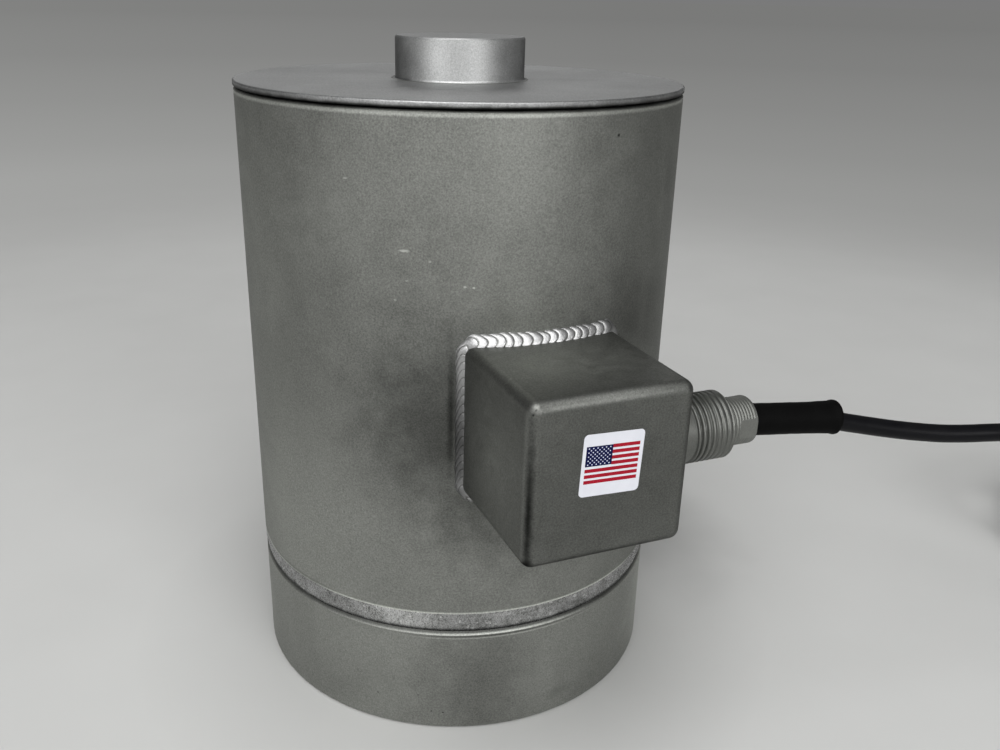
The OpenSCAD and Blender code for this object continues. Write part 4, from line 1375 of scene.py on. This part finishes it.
# Painted light on the box's top and left side, painted shade over its front, along its front left and top left
# edges, at its bottom left corner and along its bottom edge, and a painted highlight along its top front edge.
BOX_SHADES = (
    Shade((0.0, -96.0, 145.1), (40.0, 34.0, 5.0), 2.3),
    Shade((0.0, -120.5, 120.0), (70.0, 3.0, 70.0), 0.7),
    Shade((-25.4, -96.0, 120.0), (5.0, 34.0, 34.0), 1.6),
    Shade((-24.4, -119.5, 112.0), (2.3, 2.3, 42.0), 0.12),
    Shade((-24.6, -119.6, 95.9), (3.6, 3.6, 3.6), 0.1),
    Shade((0.0, -119.5, 95.6), (44.0, 2.6, 2.4), 0.3),
    Shade((-25.0, -92.0, 144.7), (2.8, 40.0, 2.8), 0.6),
    Shade((0.0, -119.6, 144.2), (40.0, 2.0, 2.0), 1.8),
)
BOX_MARKS = (Mark((-23.6, -120.1, 143.5), 0.6, 0.01), Mark((-24.3, -119.8, 142.0), 0.45, 0.01))


@dataclass
class CableGland:
    """Threaded hub, closing screw and sleeve on the box's side."""

    y: float = -99.8
    z: float = 119.9
    side: float = 25.4
    pitch: float = 1.814
    thread_low: float = 35.5
    thread_high: float = 48.65
    thread_r: float = 10.67
    thread_depth: float = 0.85
    run_in: float = 0.9
    run_out: float = 0.6
    root_r: float = 10.1
    shank_r: float = 9.5
    seat_depth: float = 4.7
    socket_r: float = 7.65
    socket_x: float = 38.6
    neck_r: float = 6.0
    neck_x: float = 30.0
    cable_r: float = 3.3
    screw_r: float = 7.6
    screw_edge: float = 0.5
    mouth_r: float = 5.9
    mouth_depth: float = 7.85
    fine_pitch: float = 1.06
    fine_depth: float = 0.17
    flats_l: float = 6.8
    flat_half: float = 6.8
    follower_end: float = 59.0
    sleeve_x: float = 56.65
    sleeve_swing: float = 8.5
    sleeve_dip: float = 3.3
    sleeve_l: float = 34.4
    sleeve_r: float = 5.0
    sleeve_bore: float = 3.25

    def build(self) -> None:
        """Builds the three pieces and dresses what is inside them."""
        self.hub()
        self.follower()
        self.sleeve()
        dress(TurnedSteel("washer_steel", 0.6, 0, (0, self.y, self.z)), "gland_washers")
        dress(Moulded("grommet_rubber", grey(0.012), grey(0.02)), "gland_grommet")
        dress(Moulded("collar_brass", (0.62, 0.42, 0.16), (0.5, 0.32, 0.11), rough=(0.25, 0.35),
                      metallic=1.0), "crimp_collar")
        dress(Moulded("inlet_jacket", grey(0.014), grey(0.02)), "cable_inlet")

    def spread(self, low: float, high: float, r_low: float, r_high: float,
               step: float) -> list[tuple[float, float]]:
        """Stations evenly spread along a stretch of the outline."""
        count = max(2, math.ceil(abs(high - low) / step) + 1)
        return list(zip(np.linspace(low, high, count), np.linspace(r_low, r_high, count)))

    def hub(self) -> None:
        """Hub with a plain shank and a rounded taper pipe thread, deepest at its start."""
        low, high = self.thread_low - self.run_in, self.thread_high - self.run_out
        side, root = self.side, self.root_r
        seat, end = side - self.seat_depth, high + self.run_out
        outline = [(seat, self.cable_r), (seat, self.shank_r), (side, self.shank_r), (side, root - 0.2),
                   (side + 0.2, root), (low - 0.1, root)]
        outline += self.spread(low, high - 0.1, root, self.thread_r, self.pitch / 18)
        outline += [(high + 0.3, 10.3), (end, 9.87), (end, self.socket_r), (self.socket_x, self.socket_r),
                    (self.socket_x, self.neck_r), (self.neck_x, self.neck_r), (self.neck_x, self.cable_r)]

        def swell(along: float, radius: float, turn: np.ndarray) -> np.ndarray:
            """Radius round one station of the hub.

            Args:
                along: distance along the axis.
                radius: the outline's radius there.
                turn: the angles round it.

            Returns:
                The radius at each angle.
            """
            r = np.full(len(turn), radius)
            if radius < root - 0.15 or not low - 0.05 < along < high:
                return r
            phase = ((along - low) / self.pitch + turn / (2 * math.pi)) % 1.0
            groove = np.exp(-((phase - 0.5) / 0.2) ** 2)
            start = held((along - low) / 0.7)
            shallow = 1.0 - 0.6 * held((along - low - 3.0) / 7.0)
            last = held((high - along) / 1.3)
            crest = root + (self.thread_r - root) * start
            return crest - self.thread_depth * shallow * start * last * groove

        piece = Lathe("threaded_hub", (0, self.y, self.z), (1, 0, 0)).turned(outline, swell, 50)
        finish = TurnedSteel("hub_steel", 0.17, 0, (0, self.y, self.z), rough=(0.42, 0.56), spread=0.3)
        ride_as(piece, Slot.GLAND, "conduit_hub", finish=finish)

    def follower(self) -> None:
        """Closing screw with a fine thread and two wrench flats at its end."""
        end, low, inner, outer = self.follower_end, self.thread_high - 0.1, self.socket_x, self.screw_r
        floor, edge = end - self.mouth_depth, self.screw_edge
        outline = [(inner, self.cable_r), (inner, outer - edge), (inner + edge, outer), (low - 0.1, outer)]
        outline += self.spread(low, end - 0.6, outer, outer, self.fine_pitch / 10)
        outline += [(end - edge, outer), (end - 0.35, 7.55), (end - 0.12, 7.35), (end, outer - edge),
                    (end, self.mouth_r), (floor, self.mouth_r), (floor, self.cable_r)]

        def swell(along: float, radius: float, turn: np.ndarray) -> np.ndarray:
            """Radius round one station of the screw.

            Args:
                along: distance along the axis.
                radius: the outline's radius there.
                turn: the angles round it.

            Returns:
                The radius at each angle.
            """
            r = np.full(len(turn), radius)
            if radius < outer - 0.6:
                return r
            if low < along < end - 0.3:
                phase = (along / self.fine_pitch + turn / (2 * math.pi)) % 1.0
                fade = min(1.0, (end - 0.3 - along) / 1.2)
                r -= self.fine_depth * fade * np.exp(-((phase - 0.5) / 0.22) ** 2)
            if along > end - self.flats_l:
                grown = self.flat_half + 0.8 * max(0.0, 1 - (along - end + self.flats_l) / 0.5) ** 2
                r = np.minimum(r, grown / np.maximum(np.abs(np.cos(turn)), 0.05))
            return r

        piece = Lathe("closing_screw", (0, self.y, self.z), (1, 0, 0)).turned(outline, swell, 40)
        finish = TurnedSteel("screw_steel", 0.21, 0, (0, self.y, self.z), rough=(0.5, 0.62), spread=0.24)
        ride_as(piece, Slot.GLAND, "gland_follower", finish=finish)

    def sleeve(self) -> None:
        """Shrunk sleeve: tight at the screw, slightly swollen, with a rolled lip at its open end."""
        length, bore, outer = self.sleeve_l, self.sleeve_bore, self.sleeve_r
        outline = [(0.0, bore), (0.0, outer - 0.3), (0.3, outer - 0.05)]
        for x in np.linspace(0.8, length - 2.4, 24):
            flared = 0.35 * max(0.0, x / length - 0.72) / 0.28
            outline.append((x, outer + 0.1 * math.sin(x / length * math.pi) + flared))
        outline += [(length - 1.7, 5.48), (length - 1.0, 5.6), (length - 0.4, 5.52), (length - 0.1, 5.3)]
        outline += [(length, 4.95), (length - 0.15, 4.75), (length - 0.6, 4.6), (24.0, 4.6), (14.0, bore)]

        def swell(along: float, radius: float, turn: np.ndarray) -> np.ndarray:
            """Radius round one station of the sleeve: shrinking leaves it a little uneven.

            Args:
                along: distance along the axis.
                radius: the outline's radius there.
                turn: the angles round it.

            Returns:
                The radius at each angle.
            """
            wave = np.sin(3 * turn + along * 0.4) * np.sin(along * 0.9 + 1.0)
            wave += np.sin(2 * turn - along * 0.23)
            return radius + 0.035 * wave * (radius > 4.9)

        swing, dip = math.radians(self.sleeve_swing), math.radians(self.sleeve_dip)
        axis = (math.cos(dip) * math.cos(swing), -math.cos(dip) * math.sin(swing), -math.sin(dip))
        piece = Lathe("shrunk_sleeve", (self.sleeve_x, self.y, self.z), axis, 96).turned(outline, swell, 60)
        finish = Moulded("sleeve_black", grey(0.0025), grey(0.004), rough=(0.5, 0.62), skin_mm=0.5,
                         skin_depth=0.08, gleam=0.03)
        ride_as(piece, Slot.SLEEVE, "cable_sleeve", finish=finish)


@dataclass
class SignalCable:
    """The free cable: from the gland to the floor, along it and into a coil, with its ties and bare end."""

    diameter: float = 6.0
    length_m: float = 6.1
    step: float = 6.1
    middle: tuple[float, float] = (312.0, -73.35)
    mean_r: float = 37.2
    columns: int = 4
    rows: int = 6
    low_z: float = 4.5
    tail_z: float = 42.0
    points_a_turn: int = 96
    move: float = 0.25
    route: tuple[Point, ...] = (
        (53.75, -99.8, 119.9), (56.65, -99.8, 119.9), (61.2, -100.4, 119.6), (70.5, -101.8, 119),
        (80.5, -103.3, 118.1), (88.5, -104.4, 116.9), (95.8, -105.5, 115.3), (104.7, -107.3, 113.4),
        (113.3, -109.4, 111.8), (121.7, -111.7, 110.6), (129.7, -114.2, 109.9), (137.7, -116.8, 109.8),
        (145.5, -119.3, 110), (154.4, -121.5, 109.6), (166.4, -123.4, 107.3), (179, -124.7, 101.5),
        (191.5, -125.6, 92.3), (203, -126, 80.3), (214, -126, 65.5), (224, -126, 49.5), (234, -126, 33.5),
        (244.5, -126, 20), (257, -126, 9.6), (271, -126, 4.4), (285, -126, 3.2), (299, -126, 3.2),
        (312, -126, 3.2),
    )
    tie_angles: tuple[float, ...] = (92.0, 242.0)
    tie_gap: float = 0.25
    tie_w: float = 4.8
    tie_t: float = 1.1
    tie_corner: float = 2.95
    tie_bevel: float = 0.25
    tie_head: tuple[Point, Point] = ((-3.5, -3.0, -0.3), (3.5, 3.0, 3.6))
    tie_slot: tuple[Point, Point] = ((-4.5, -2.2, 0.9), (4.5, 2.2, 2.3))
    tie_tongue: tuple[Point, Point] = ((-4.6, -2.0, 1.1), (5.4, 2.0, 2.1))
    lead_end: float = 64.0
    lead_stagger: float = 3.0
    lead_gap: float = 1.5

    def build(self) -> None:
        run = self.smooth(np.array(self.route, float))
        line = np.concatenate([run, self.winding()])
        curve = bpy.data.curves.new("signal_cable", "CURVE")
        curve.dimensions, curve.bevel_depth, curve.bevel_resolution = "3D", self.diameter / 2 * MM, 6
        curve.use_fill_caps = True
        spline = curve.splines.new("POLY")
        spline.points.add(len(line) - 1)
        spline.points.foreach_set("co", np.hstack([line * MM, np.ones((len(line), 1))]).ravel())
        spline.use_smooth = True
        cable = bpy.data.objects.new("signal_cable", curve)
        bpy.context.scene.collection.objects.link(cable)
        jacket = Moulded("jacket_black", (0.003, 0.003, 0.004), (0.006, 0.006, 0.007), rough=(0.34, 0.48),
                         patch_mm=9.0, skin_mm=0.6, skin_depth=0.04, gleam=0.1)
        ride_as(cable, Slot.JACKET, "cable_run", "cable_coil", "cable_tail", finish=jacket)
        on_it = [self.ties(), *self.bare_end()]
        length = float(np.linalg.norm(np.diff(line, axis=0), axis=1).sum()) * MM
        log.info("signal_cable is %.3f m long", length)

    def smooth(self, knots: np.ndarray, steps: int = 8) -> np.ndarray:
        """Smooth line through the route's points, without the last of them.

        Args:
            knots: the route's points.
            steps: points from one knot to the next.

        Returns:
            The line's points.
        """
        padded = np.vstack([2 * knots[0] - knots[1], knots, knots[-1] + (knots[-1] - knots[-2])])
        line = []
        for a, b, c, d in zip(padded[:-3], padded[1:-2], padded[2:-1], padded[3:]):
            for t in np.linspace(0, 1, steps, endpoint=False):
                line.append(0.5 * (2 * b + (c - a) * t + (2 * a - 5 * b + 4 * c - d) * t ** 2
                                   + (3 * b - a - 3 * c + d) * t ** 3))
        return np.array(line)

    def winding(self) -> np.ndarray:
        """Middle line of the coil: turns beside each other, then back over them, and up onto the last row.

        Returns:
            The line's points.
        """
        radii = [self.mean_r + (c - (self.columns - 1) / 2) * self.step for c in range(self.columns)]
        order = []
        for row in range(self.rows):
            columns = list(reversed(radii)) if row % 2 == 0 else radii
            order += [(r, self.low_z + row * self.step) for r in columns]
        start_r = -self.route[-1][1] + self.middle[1]
        at = (start_r, self.route[-1][2])
        before = at
        places = []
        for number, goal in enumerate(order):
            climbs = number > 0 and goal[1] > at[1] + 1 and abs(goal[0] - at[0]) < 0.1
            for share in np.arange(self.points_a_turn) / self.points_a_turn:
                s = eased(min(1.0, share / self.move))
                r, z = at[0] + (goal[0] - at[0]) * s, at[1] + (goal[1] - at[1]) * s
                if climbs:
                    under = before[0] + (at[0] - before[0]) * s
                    lean = math.copysign(self.step, at[0] - before[0])
                    r = under + lean * math.cos(s * math.pi / 2)
                    z = at[1] + self.step * math.sin(s * math.pi / 2)
                places.append((r, -90 + 360 * (number + share), z))
            before, at = at, goal
        r, a, z = np.array(self.lifted(places)).T
        return self.on_coil(r, np.radians(a), z)

    def lifted(self, places: list[tuple[float, float, float]]) -> list[tuple[float, float, float]]:
        """Lifts the end of the last turn and carries it in over the row below it.

        Args:
            places: the coil's points, as distance from its axis, angle in degrees and height.

        Returns:
            The same points and those of the lifted end.
        """
        last = self.columns * self.rows * 360 - 90
        step = 360 / self.points_a_turn
        end = [(places[-1][0], a, places[-1][2]) for a in np.arange(last, last + 80.01, step)]
        made = []
        for r, a, z in places + end:
            rise = eased(held((a - (last - 60)) / 62))
            inward = eased(held((a - (last - 18)) / 73))
            made.append((r + (self.mean_r - r) * inward, a, z + (self.tail_z - z) * rise))
        return made

    def on_coil(self, r: float | np.ndarray, turn: np.ndarray, z: np.ndarray) -> np.ndarray:
        """Points given by distance from the coil's axis, angle and height."""
        return np.stack([self.middle[0] + r * np.cos(turn), self.middle[1] + r * np.sin(turn), z], axis=1)

    def arc(self, r: float, low: float, high: float, z: float, count: int) -> np.ndarray:
        """Points on an arc about the coil's middle."""
        return self.on_coil(r, np.radians(np.linspace(low, high, count)), np.full(count, z))

    def strap(self, low: float, high: float, half_w: float) -> bpy.types.Object:
        """The strap of one tie.

        Args:
            low: height of its inner face under the coil.
            high: height of its inner face over the coil.
            half_w: half the width inside it.

        Returns:
            The strap, over the X axis.
        """
        edge, half, t, bevel = self.tie_corner, self.tie_w / 2, self.tie_t, self.tie_bevel
        section = [(-half + bevel, 0), (half - bevel, 0), (half, bevel), (half, t - bevel), (half - bevel, t),
                   (half * 0.5, t - 0.15), (-half * 0.5, t - 0.15), (-half + bevel, t), (-half, t - bevel),
                   (-half, bevel)]
        corners = ((half_w - edge, low + edge), (half_w - edge, high - edge), (edge - half_w, high - edge),
                   (edge - half_w, low + edge))
        points = []
        for quarter, (cx, cz) in enumerate(corners):
            start = 90 * quarter - 90
            for a in np.radians(np.linspace(start, start + 90, 9)):
                nx, nz = math.cos(a), math.sin(a)
                x, z = self.mean_r + cx + edge * nx, cz + edge * nz
                points += [(x + d * nx, w, z + d * nz) for w, d in section]
        faces = woven(len(points) // len(section), len(section), True)
        return sharpened(solid("strap", np.array(points), faces), 40)

    def ties(self) -> bpy.types.Object:
        """Two nylon ties round the coil, with their heads on top and cut ends.

        Returns:
            Both ties as one object.
        """
        around = self.diameter / 2 + self.tie_gap
        half_w = (self.columns - 1) / 2 * self.step + around
        low, high = self.low_z - around, self.low_z + (self.rows - 1) * self.step + around

        def on_strap(corners: tuple[Point, Point], *rounding: float) -> bpy.types.Object:
            """A box whose corners are given from the middle of the strap's top."""
            ends = (np.add(corner, (self.mean_r, 0.0, high + self.tie_t)) for corner in corners)
            return block(*ends, *rounding)

        pieces = []
        for angle in self.tie_angles:
            strap = self.strap(low, high, half_w)
            head = on_strap(self.tie_head, 0.7, 3)
            cut(head, [on_strap(self.tie_slot)])
            tongue = on_strap(self.tie_tongue, 0.2, 2)
            tie = joined("tie", [strap, sharpened(head, 40), sharpened(tongue, 40)])
            tie.data.transform(Matrix.Translation((self.middle[0] * MM, self.middle[1] * MM, 0))
                               @ Matrix.Rotation(math.radians(angle), 4, "Z"))
            pieces.append(tie)
        ties = joined("coil_tie_pair", pieces)
        nylon = Moulded("tie_black", grey(0.013), grey(0.02), rough=(0.3, 0.42), skin_mm=0.8)
        ride_as(ties, Slot.TIE, "coil_ties", finish=nylon)
        return ties

    def bare_end(self) -> list[bpy.types.Object]:
        """Sleeve over the jacket's end, the coloured leads and their tinned tips.

        Returns:
            The sleeve, the leads and the tips.
        """
        z = self.tail_z
        sleeve = Tube("tail_end_sleeve", 24).along([self.arc(self.mean_r, -10, 19, z, 20)], 3.8, 0.25)
        black = Moulded("tail_sleeve_black", grey(0.007), grey(0.012), rough=(0.45, 0.58))
        ride_as(sleeve, Slot.SLEEVE, "tail_sleeve", finish=black)
        ends = [self.lead_end - self.lead_stagger * (i % 2) for i in range(len(LEADS))]
        radii = [self.mean_r + (i - 2) * self.lead_gap for i in range(len(LEADS))]
        paths = [self.arc(r, 18.6, end, z, 24) for r, end in zip(radii, ends)]
        leads = Tube("tail_lead_set", 12).along(paths, 0.7, 0.12)
        carry(leads.data, LEADS)
        strand = np.zeros(len(leads.data.vertices), np.float32)
        leads.data.attributes["strand"].data.foreach_get("value", strand)
        for face in leads.data.polygons:
            face.material_index = int(round(strand[face.vertices[0]]))
        ride_as(leads, Slot.INSULATION, "tail_leads")
        paths = [self.arc(r, end - 0.4, end + 8, z, 8) for r, end in zip(radii, ends)]
        tips = Tube("tail_tip_set", 10).along(paths, 0.5, 0.3)
        tin = TurnedSteel("tip_tin", 0.6, rough=(0.25, 0.35), rings_mm=0.25, bump=0.6)
        ride_as(tips, Slot.TINNED, "tail_tips", finish=tin)
        return [sleeve, leads, tips]


LEADS = tuple(
    Moulded(f"lead_{name}", colour, tuple(c * 0.8 for c in colour), rough=(0.32, 0.42), patch_mm=3.0)
    for name, colour in (("red", (0.48, 0.012, 0.01)), ("black", (0.012, 0.012, 0.012)),
                         ("white", (0.72, 0.72, 0.69)), ("green", (0.015, 0.2, 0.04)),
                         ("yellow", (0.75, 0.5, 0.02)))
)


@dataclass
class InnerWorks:
    """Everything inside the can and the box: gauges, board, header and wires."""

    gauge_z: float = 123.1
    board_z: float = 85.6
    resistor_angles: tuple[int, ...] = (15, 45, 125, 150, 240, 300)
    resistor_at: float = 52.0
    leg_h: float = 1.5
    leg_x: float = 4.65
    leg_r: float = 0.35
    band_half: float = 0.26

    def build(self) -> None:
        """Dresses the inner nodes."""
        wires = {"rough": (0.25, 0.35), "metallic": 1.0}
        dress(GaugeFoil("gauge_foil_grid", self.gauge_z), "strain_gauges")
        dress(BoardLaminate("board_green"), "bridge_board")
        dress(Moulded("contact_gold_plate", (0.8, 0.55, 0.2), (0.7, 0.46, 0.15), rough=(0.2, 0.3),
                      metallic=1.0), "gauge_terminals", "solder_posts", "header_pins")
        dress(Moulded("tinned_wire", (0.62, 0.6, 0.56), (0.5, 0.49, 0.46), **wires), "gauge_jumpers")
        dress(Moulded("spacer_brass_turned", (0.66, 0.45, 0.17), (0.55, 0.36, 0.12), rough=(0.22, 0.34),
                      metallic=1.0), "board_standoffs")
        dress(TurnedSteel("bright_turned", 0.62), "board_screws", "header_shell")
        dress(Moulded("header_glass_fused", (0.10, 0.22, 0.17), (0.07, 0.17, 0.13), rough=(0.05, 0.1),
                      coat=0.5, transmission=0.35), "header_glass")
        dress(LEADS[0], "gauge_leads")
        dress(LEADS[1], "conductor_sleeves")
        for node in ("header_harness", "cable_conductors"):
            self.dress_strands(node)
        self.resistors([
            Moulded("resistor_body", (0.55, 0.4, 0.22), (0.48, 0.34, 0.18), rough=(0.3, 0.4)),
            *(Moulded(f"resistor_band_{i}", colour, tuple(v * 0.85 for v in colour), rough=(0.3, 0.4))
              for i, colour in enumerate(((0.3, 0.01, 0.01), (0.02, 0.05, 0.3), (0.02, 0.02, 0.02)))),
            Moulded("resistor_wire", (0.6, 0.58, 0.55), (0.5, 0.48, 0.45), **wires),
        ])

    def dress_strands(self, name: str) -> None:
        """Gives each wire of a node its own colour, in the order of the record's pins.

        Args:
            name: the node's name.
        """
        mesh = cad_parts[name].data
        carry(mesh, LEADS)
        work = bmesh.new()
        work.from_mesh(mesh)
        bmesh.ops.remove_doubles(work, verts=work.verts, dist=1e-7)
        work.faces.ensure_lookup_table()
        strand, seen, number = {}, set(), 0
        for face in work.faces:
            if face.index in seen:
                continue
            todo = [face]
            seen.add(face.index)
            while todo:
                here = todo.pop()
                strand[here.index] = number
                for edge in here.edges:
                    for other in edge.link_faces:
                        if other.index not in seen:
                            seen.add(other.index)
                            todo.append(other)
            number += 1
        work.free()
        for face in mesh.polygons:
            face.material_index = strand.get(face.index, 0) % len(LEADS)

    def resistors(self, coats: Sequence[Finish]) -> None:
        """Small axial resistors with coloured bands, in place of the plain ones.

        Args:
            coats: finishes of the body, of its three bands and of the wires, in that order.
        """
        left = [(-3.25, 0.05), (-3.25, 0.8), (-3.1, 1.1), (-2.7, 1.2), (-2.0, 1.15), (-1.7, 0.98)]
        waist = [(x, 0.95) for x in np.arange(-1.5, 1.51, 0.25)]
        outline = left + waist + [(-x, r) for x, r in reversed(left)]
        bands = {-2.4: 1, -1.1: 2, 0.0: 3, 2.4: 1}
        made = [coat.material() for coat in coats]
        pieces = []
        for angle in self.resistor_angles:
            a = math.radians(angle)
            out, along = np.array([math.cos(a), math.sin(a), 0.0]), np.array([-math.sin(a), math.cos(a), 0.0])
            down = np.array([0.0, 0.0, -self.leg_h])
            middle = self.resistor_at * out + np.array([0.0, 0.0, self.board_z + self.leg_h])
            first, last = middle - self.leg_x * along, middle + self.leg_x * along
            body = Lathe("resistor", tuple(middle), tuple(along), 24).turned(outline, None, 40)
            bends = ([first + down, first], [first - along * 0.3, last + along * 0.3], [last, last + down])
            wires = Tube("resistor_wire", 8).along([np.array(bend) for bend in bends], self.leg_r, 0.2)
            for piece in (body, wires):
                for material in made:
                    piece.data.materials.append(material)
            for face in body.data.polygons:
                at = (np.array(face.center) / MM - middle) @ along
                near = (number for place, number in bands.items() if abs(at - place) < self.band_half)
                face.material_index = next(near, 0)
            for face in wires.data.polygons:
                face.material_index = len(made) - 1
            pieces += [body, wires]
        ride_as(joined("trim_resistor_set", pieces), Slot.RESISTOR, "trim_resistors")


@dataclass
class Studio:
    """Camera, floor, world and lamps."""

    eye: Point = (-122.07, -322.38, 242.76)
    right: Point = (0.92687, -0.37487, 0.01957)
    up: Point = (0.12305, 0.35265, 0.92763)
    ahead: Point = (0.35464, 0.85739, -0.37299)
    lens: float = 34.41
    sensor: float = 36.0
    shift: tuple[float, float] = (0.0163, 0.0017)
    clip: tuple[float, float] = (0.01, 200.0)
    world: float = 0.14
    far_floor: float = 0.195
    floor_sides: int = 64
    floor_radii: tuple[float, ...] = (150, 400, 900, 2000, 5000, 12000, 40000)
    # The lower level closest to the cell is a painted contact shadow; further out the floor darkens with
    # distance.
    near_stops: Stops = ((0.08, 0.5), (0.13, 0.6), (0.25, 0.61), (0.45, 0.62), (0.65, 0.6), (0.9, 0.5),
                         (1.3, 0.42), (9.0, 0.4))
    far_stops: Stops = ((0.6, 0.47), (0.75, 0.415), (1.0, 0.36), (1.4, 0.315), (2.1, 0.28), (3.7, 0.245),
                        (10.5, 0.22))
    stops_power: float = 0.4

    def place_camera(self) -> None:
        """Stands the camera where the photograph was taken."""
        data = bpy.data.cameras.new("camera")
        data.lens, data.sensor_width = self.lens, self.sensor
        data.shift_x, data.shift_y = self.shift
        data.clip_start, data.clip_end = self.clip
        camera = bpy.data.objects.new("camera", data)
        matrix = np.eye(4)
        matrix[:3, 0], matrix[:3, 1], matrix[:3, 2] = self.right, self.up, [-c for c in self.ahead]
        matrix[:3, 3] = [c * MM for c in self.eye]
        camera.matrix_world = Matrix(matrix.tolist())
        bpy.context.scene.collection.objects.link(camera)
        bpy.context.scene.camera = camera

    def build(self) -> None:
        """Lays the floor and hangs the lamps."""
        scene = bpy.context.scene
        scene.view_settings.view_transform = "Standard"
        self.floor()
        world = bpy.data.worlds.new("studio")
        scene.world = world
        world.use_nodes = True
        back = world.node_tree.nodes["Background"]
        w = Wiring(world.node_tree)
        seen = w.node("ShaderNodeLightPath").outputs["Is Camera Ray"]
        w.feed(back.inputs["Color"], w.mixed(grey(self.world), grey(self.far_floor), seen))
        for lamp in LAMPS:
            lamp.hang()

    def floor(self) -> None:
        """A pale round floor that darkens with distance until it meets the world's grey."""
        sides, rings = self.floor_sides, len(self.floor_radii)
        turn = np.linspace(0, 2 * math.pi, sides, endpoint=False)
        points = [(0.0, 0.0, 0.0)]
        points += [(r * math.cos(a), r * math.sin(a), 0.0) for r in self.floor_radii for a in turn]
        faces = [(0, 1 + k, 1 + (k + 1) % sides) for k in range(sides)]
        for ring in range(rings - 1):
            faces += band(1 + ring * sides, 1 + (ring + 1) * sides, sides)
        floor = solid("floor", np.array(points), faces, smooth=False)
        s = Shader("floor_paper")
        away = s.length(s.place)
        near = self.by_distance(s, away, self.near_stops)
        clouds = s.noise(s.place, 60.0, 3.0, 0.5)
        paper = s.mixed(near, s.mixed(grey(0.96), grey(1.03), clouds), 1.0, "MULTIPLY")
        # Painted shadow and painted light on the floor.
        for shade in FLOOR_SHADES:
            paper = s.shaded(paper, shade, clouds)
        s.set(Base_Color=paper, Roughness=0.75)
        s.relief(s.noise(s.place, 1.2, 2.0), 0.05, 0.2)
        self.far_off(s, away)
        floor.data.materials.append(s.material)

    def by_distance(self, s: Shader, away: Socket, stops: Stops) -> Socket:
        """Grey that changes with the distance from the cell.

        Args:
            s: the floor's material.
            away: the distance in metres.
            stops: distances in metres, each with its level.

        Returns:
            The grey.
        """
        reach, power = stops[-1][0], self.stops_power
        ramp = s.node("ShaderNodeValToRGB", {0: s.math("POWER", s.times(away, 1 / reach), power)})
        elements = ramp.color_ramp.elements
        while len(elements) < len(stops):
            elements.new(0.5)
        for element, (distance, _) in zip(elements, stops):
            element.position = (distance / reach) ** power
        for element, (_, level) in zip(elements, stops):
            element.color = (*grey(level, PAPER), 1.0)
        return ramp.outputs[0]

    def far_off(self, s: Shader, away: Socket) -> None:
        """Far from the cell the camera and metal see the floor glow with its grey: painted light, so no lamp
        has to reach it.

        Args:
            s: the floor's material.
            away: the distance from the cell in metres.
        """
        x, _, _ = s.parts(s.place)
        # Painted light: the glow is a little brighter towards -X than towards +X.
        side = s.level(s.math("DIVIDE", x, away), -0.5, 0.5, 1.12, 0.88)
        grey_there = self.by_distance(s, away, self.far_stops)
        glow = s.given_by("ShaderNodeEmission", {"Color": grey_there, "Strength": side})
        rays = s.node("ShaderNodeLightPath").outputs
        shows = s.math("MAXIMUM", rays["Is Camera Ray"], rays["Is Glossy Ray"])
        share = s.times(shows, s.level(away, 0.6, 1.15, smooth=True))
        mix = s.given_by("ShaderNodeMixShader", {0: share, 1: s.surface.outputs[0], 2: glow})
        s.feed(s.output.inputs[0], mix)


@dataclass(frozen=True)
class SoftBox:
    """A rectangular lamp: its middle, the point that it faces and its size in metres, its power in watts."""

    name: str
    place: Point
    target: Point
    wide: float
    tall: float
    power: float

    def hang(self) -> None:
        """Hangs the lamp where the camera doesn't see it."""
        data = bpy.data.lights.new(self.name, "AREA")
        data.shape, data.size, data.size_y, data.energy = "RECTANGLE", self.wide, self.tall, self.power
        lamp = bpy.data.objects.new(self.name, data)
        back = unit(np.array(self.place, float) - np.array(self.target, float))
        side = unit(np.cross([0.0, 0.0, 1.0], back))
        matrix = np.eye(4)
        matrix[:3, 0], matrix[:3, 1], matrix[:3, 2] = side, np.cross(back, side), back
        matrix[:3, 3] = self.place
        lamp.matrix_world = Matrix(matrix.tolist())
        lamp.visible_camera = False
        bpy.context.scene.collection.objects.link(lamp)


LAMPS = (
    SoftBox("overhead", (-0.55, -0.95, 2.1), (0.0, 0.0, 0.0), 1.8, 1.8, 39.0),
    SoftBox("back", (0.7, 2.2, 1.3), (0.0, 0.0, 0.2), 1.8, 0.8, 7.0),
    SoftBox("window", (0.28, -1.9, 0.8), (0.0, 0.0, 0.12), 1.2, 0.9, 16.0),
    SoftBox("left", (-1.5, -1.15, 0.8), (0.0, 0.0, 0.12), 2.3, 0.9, 14.5),
)


def main() -> None:
    """Builds the classes in order and reports each piece."""
    logging.basicConfig(level=logging.INFO, format="%(message)s")
    studio = Studio()
    studio.place_camera()
    SignalCable().build()
    ripples = WeldRipples()
    CanBody(ripples).build()
    JunctionBox(ripples).build()
    CableGland().build()
    InnerWorks().build()
    studio.build()


if __name__ == "__main__":
    main()
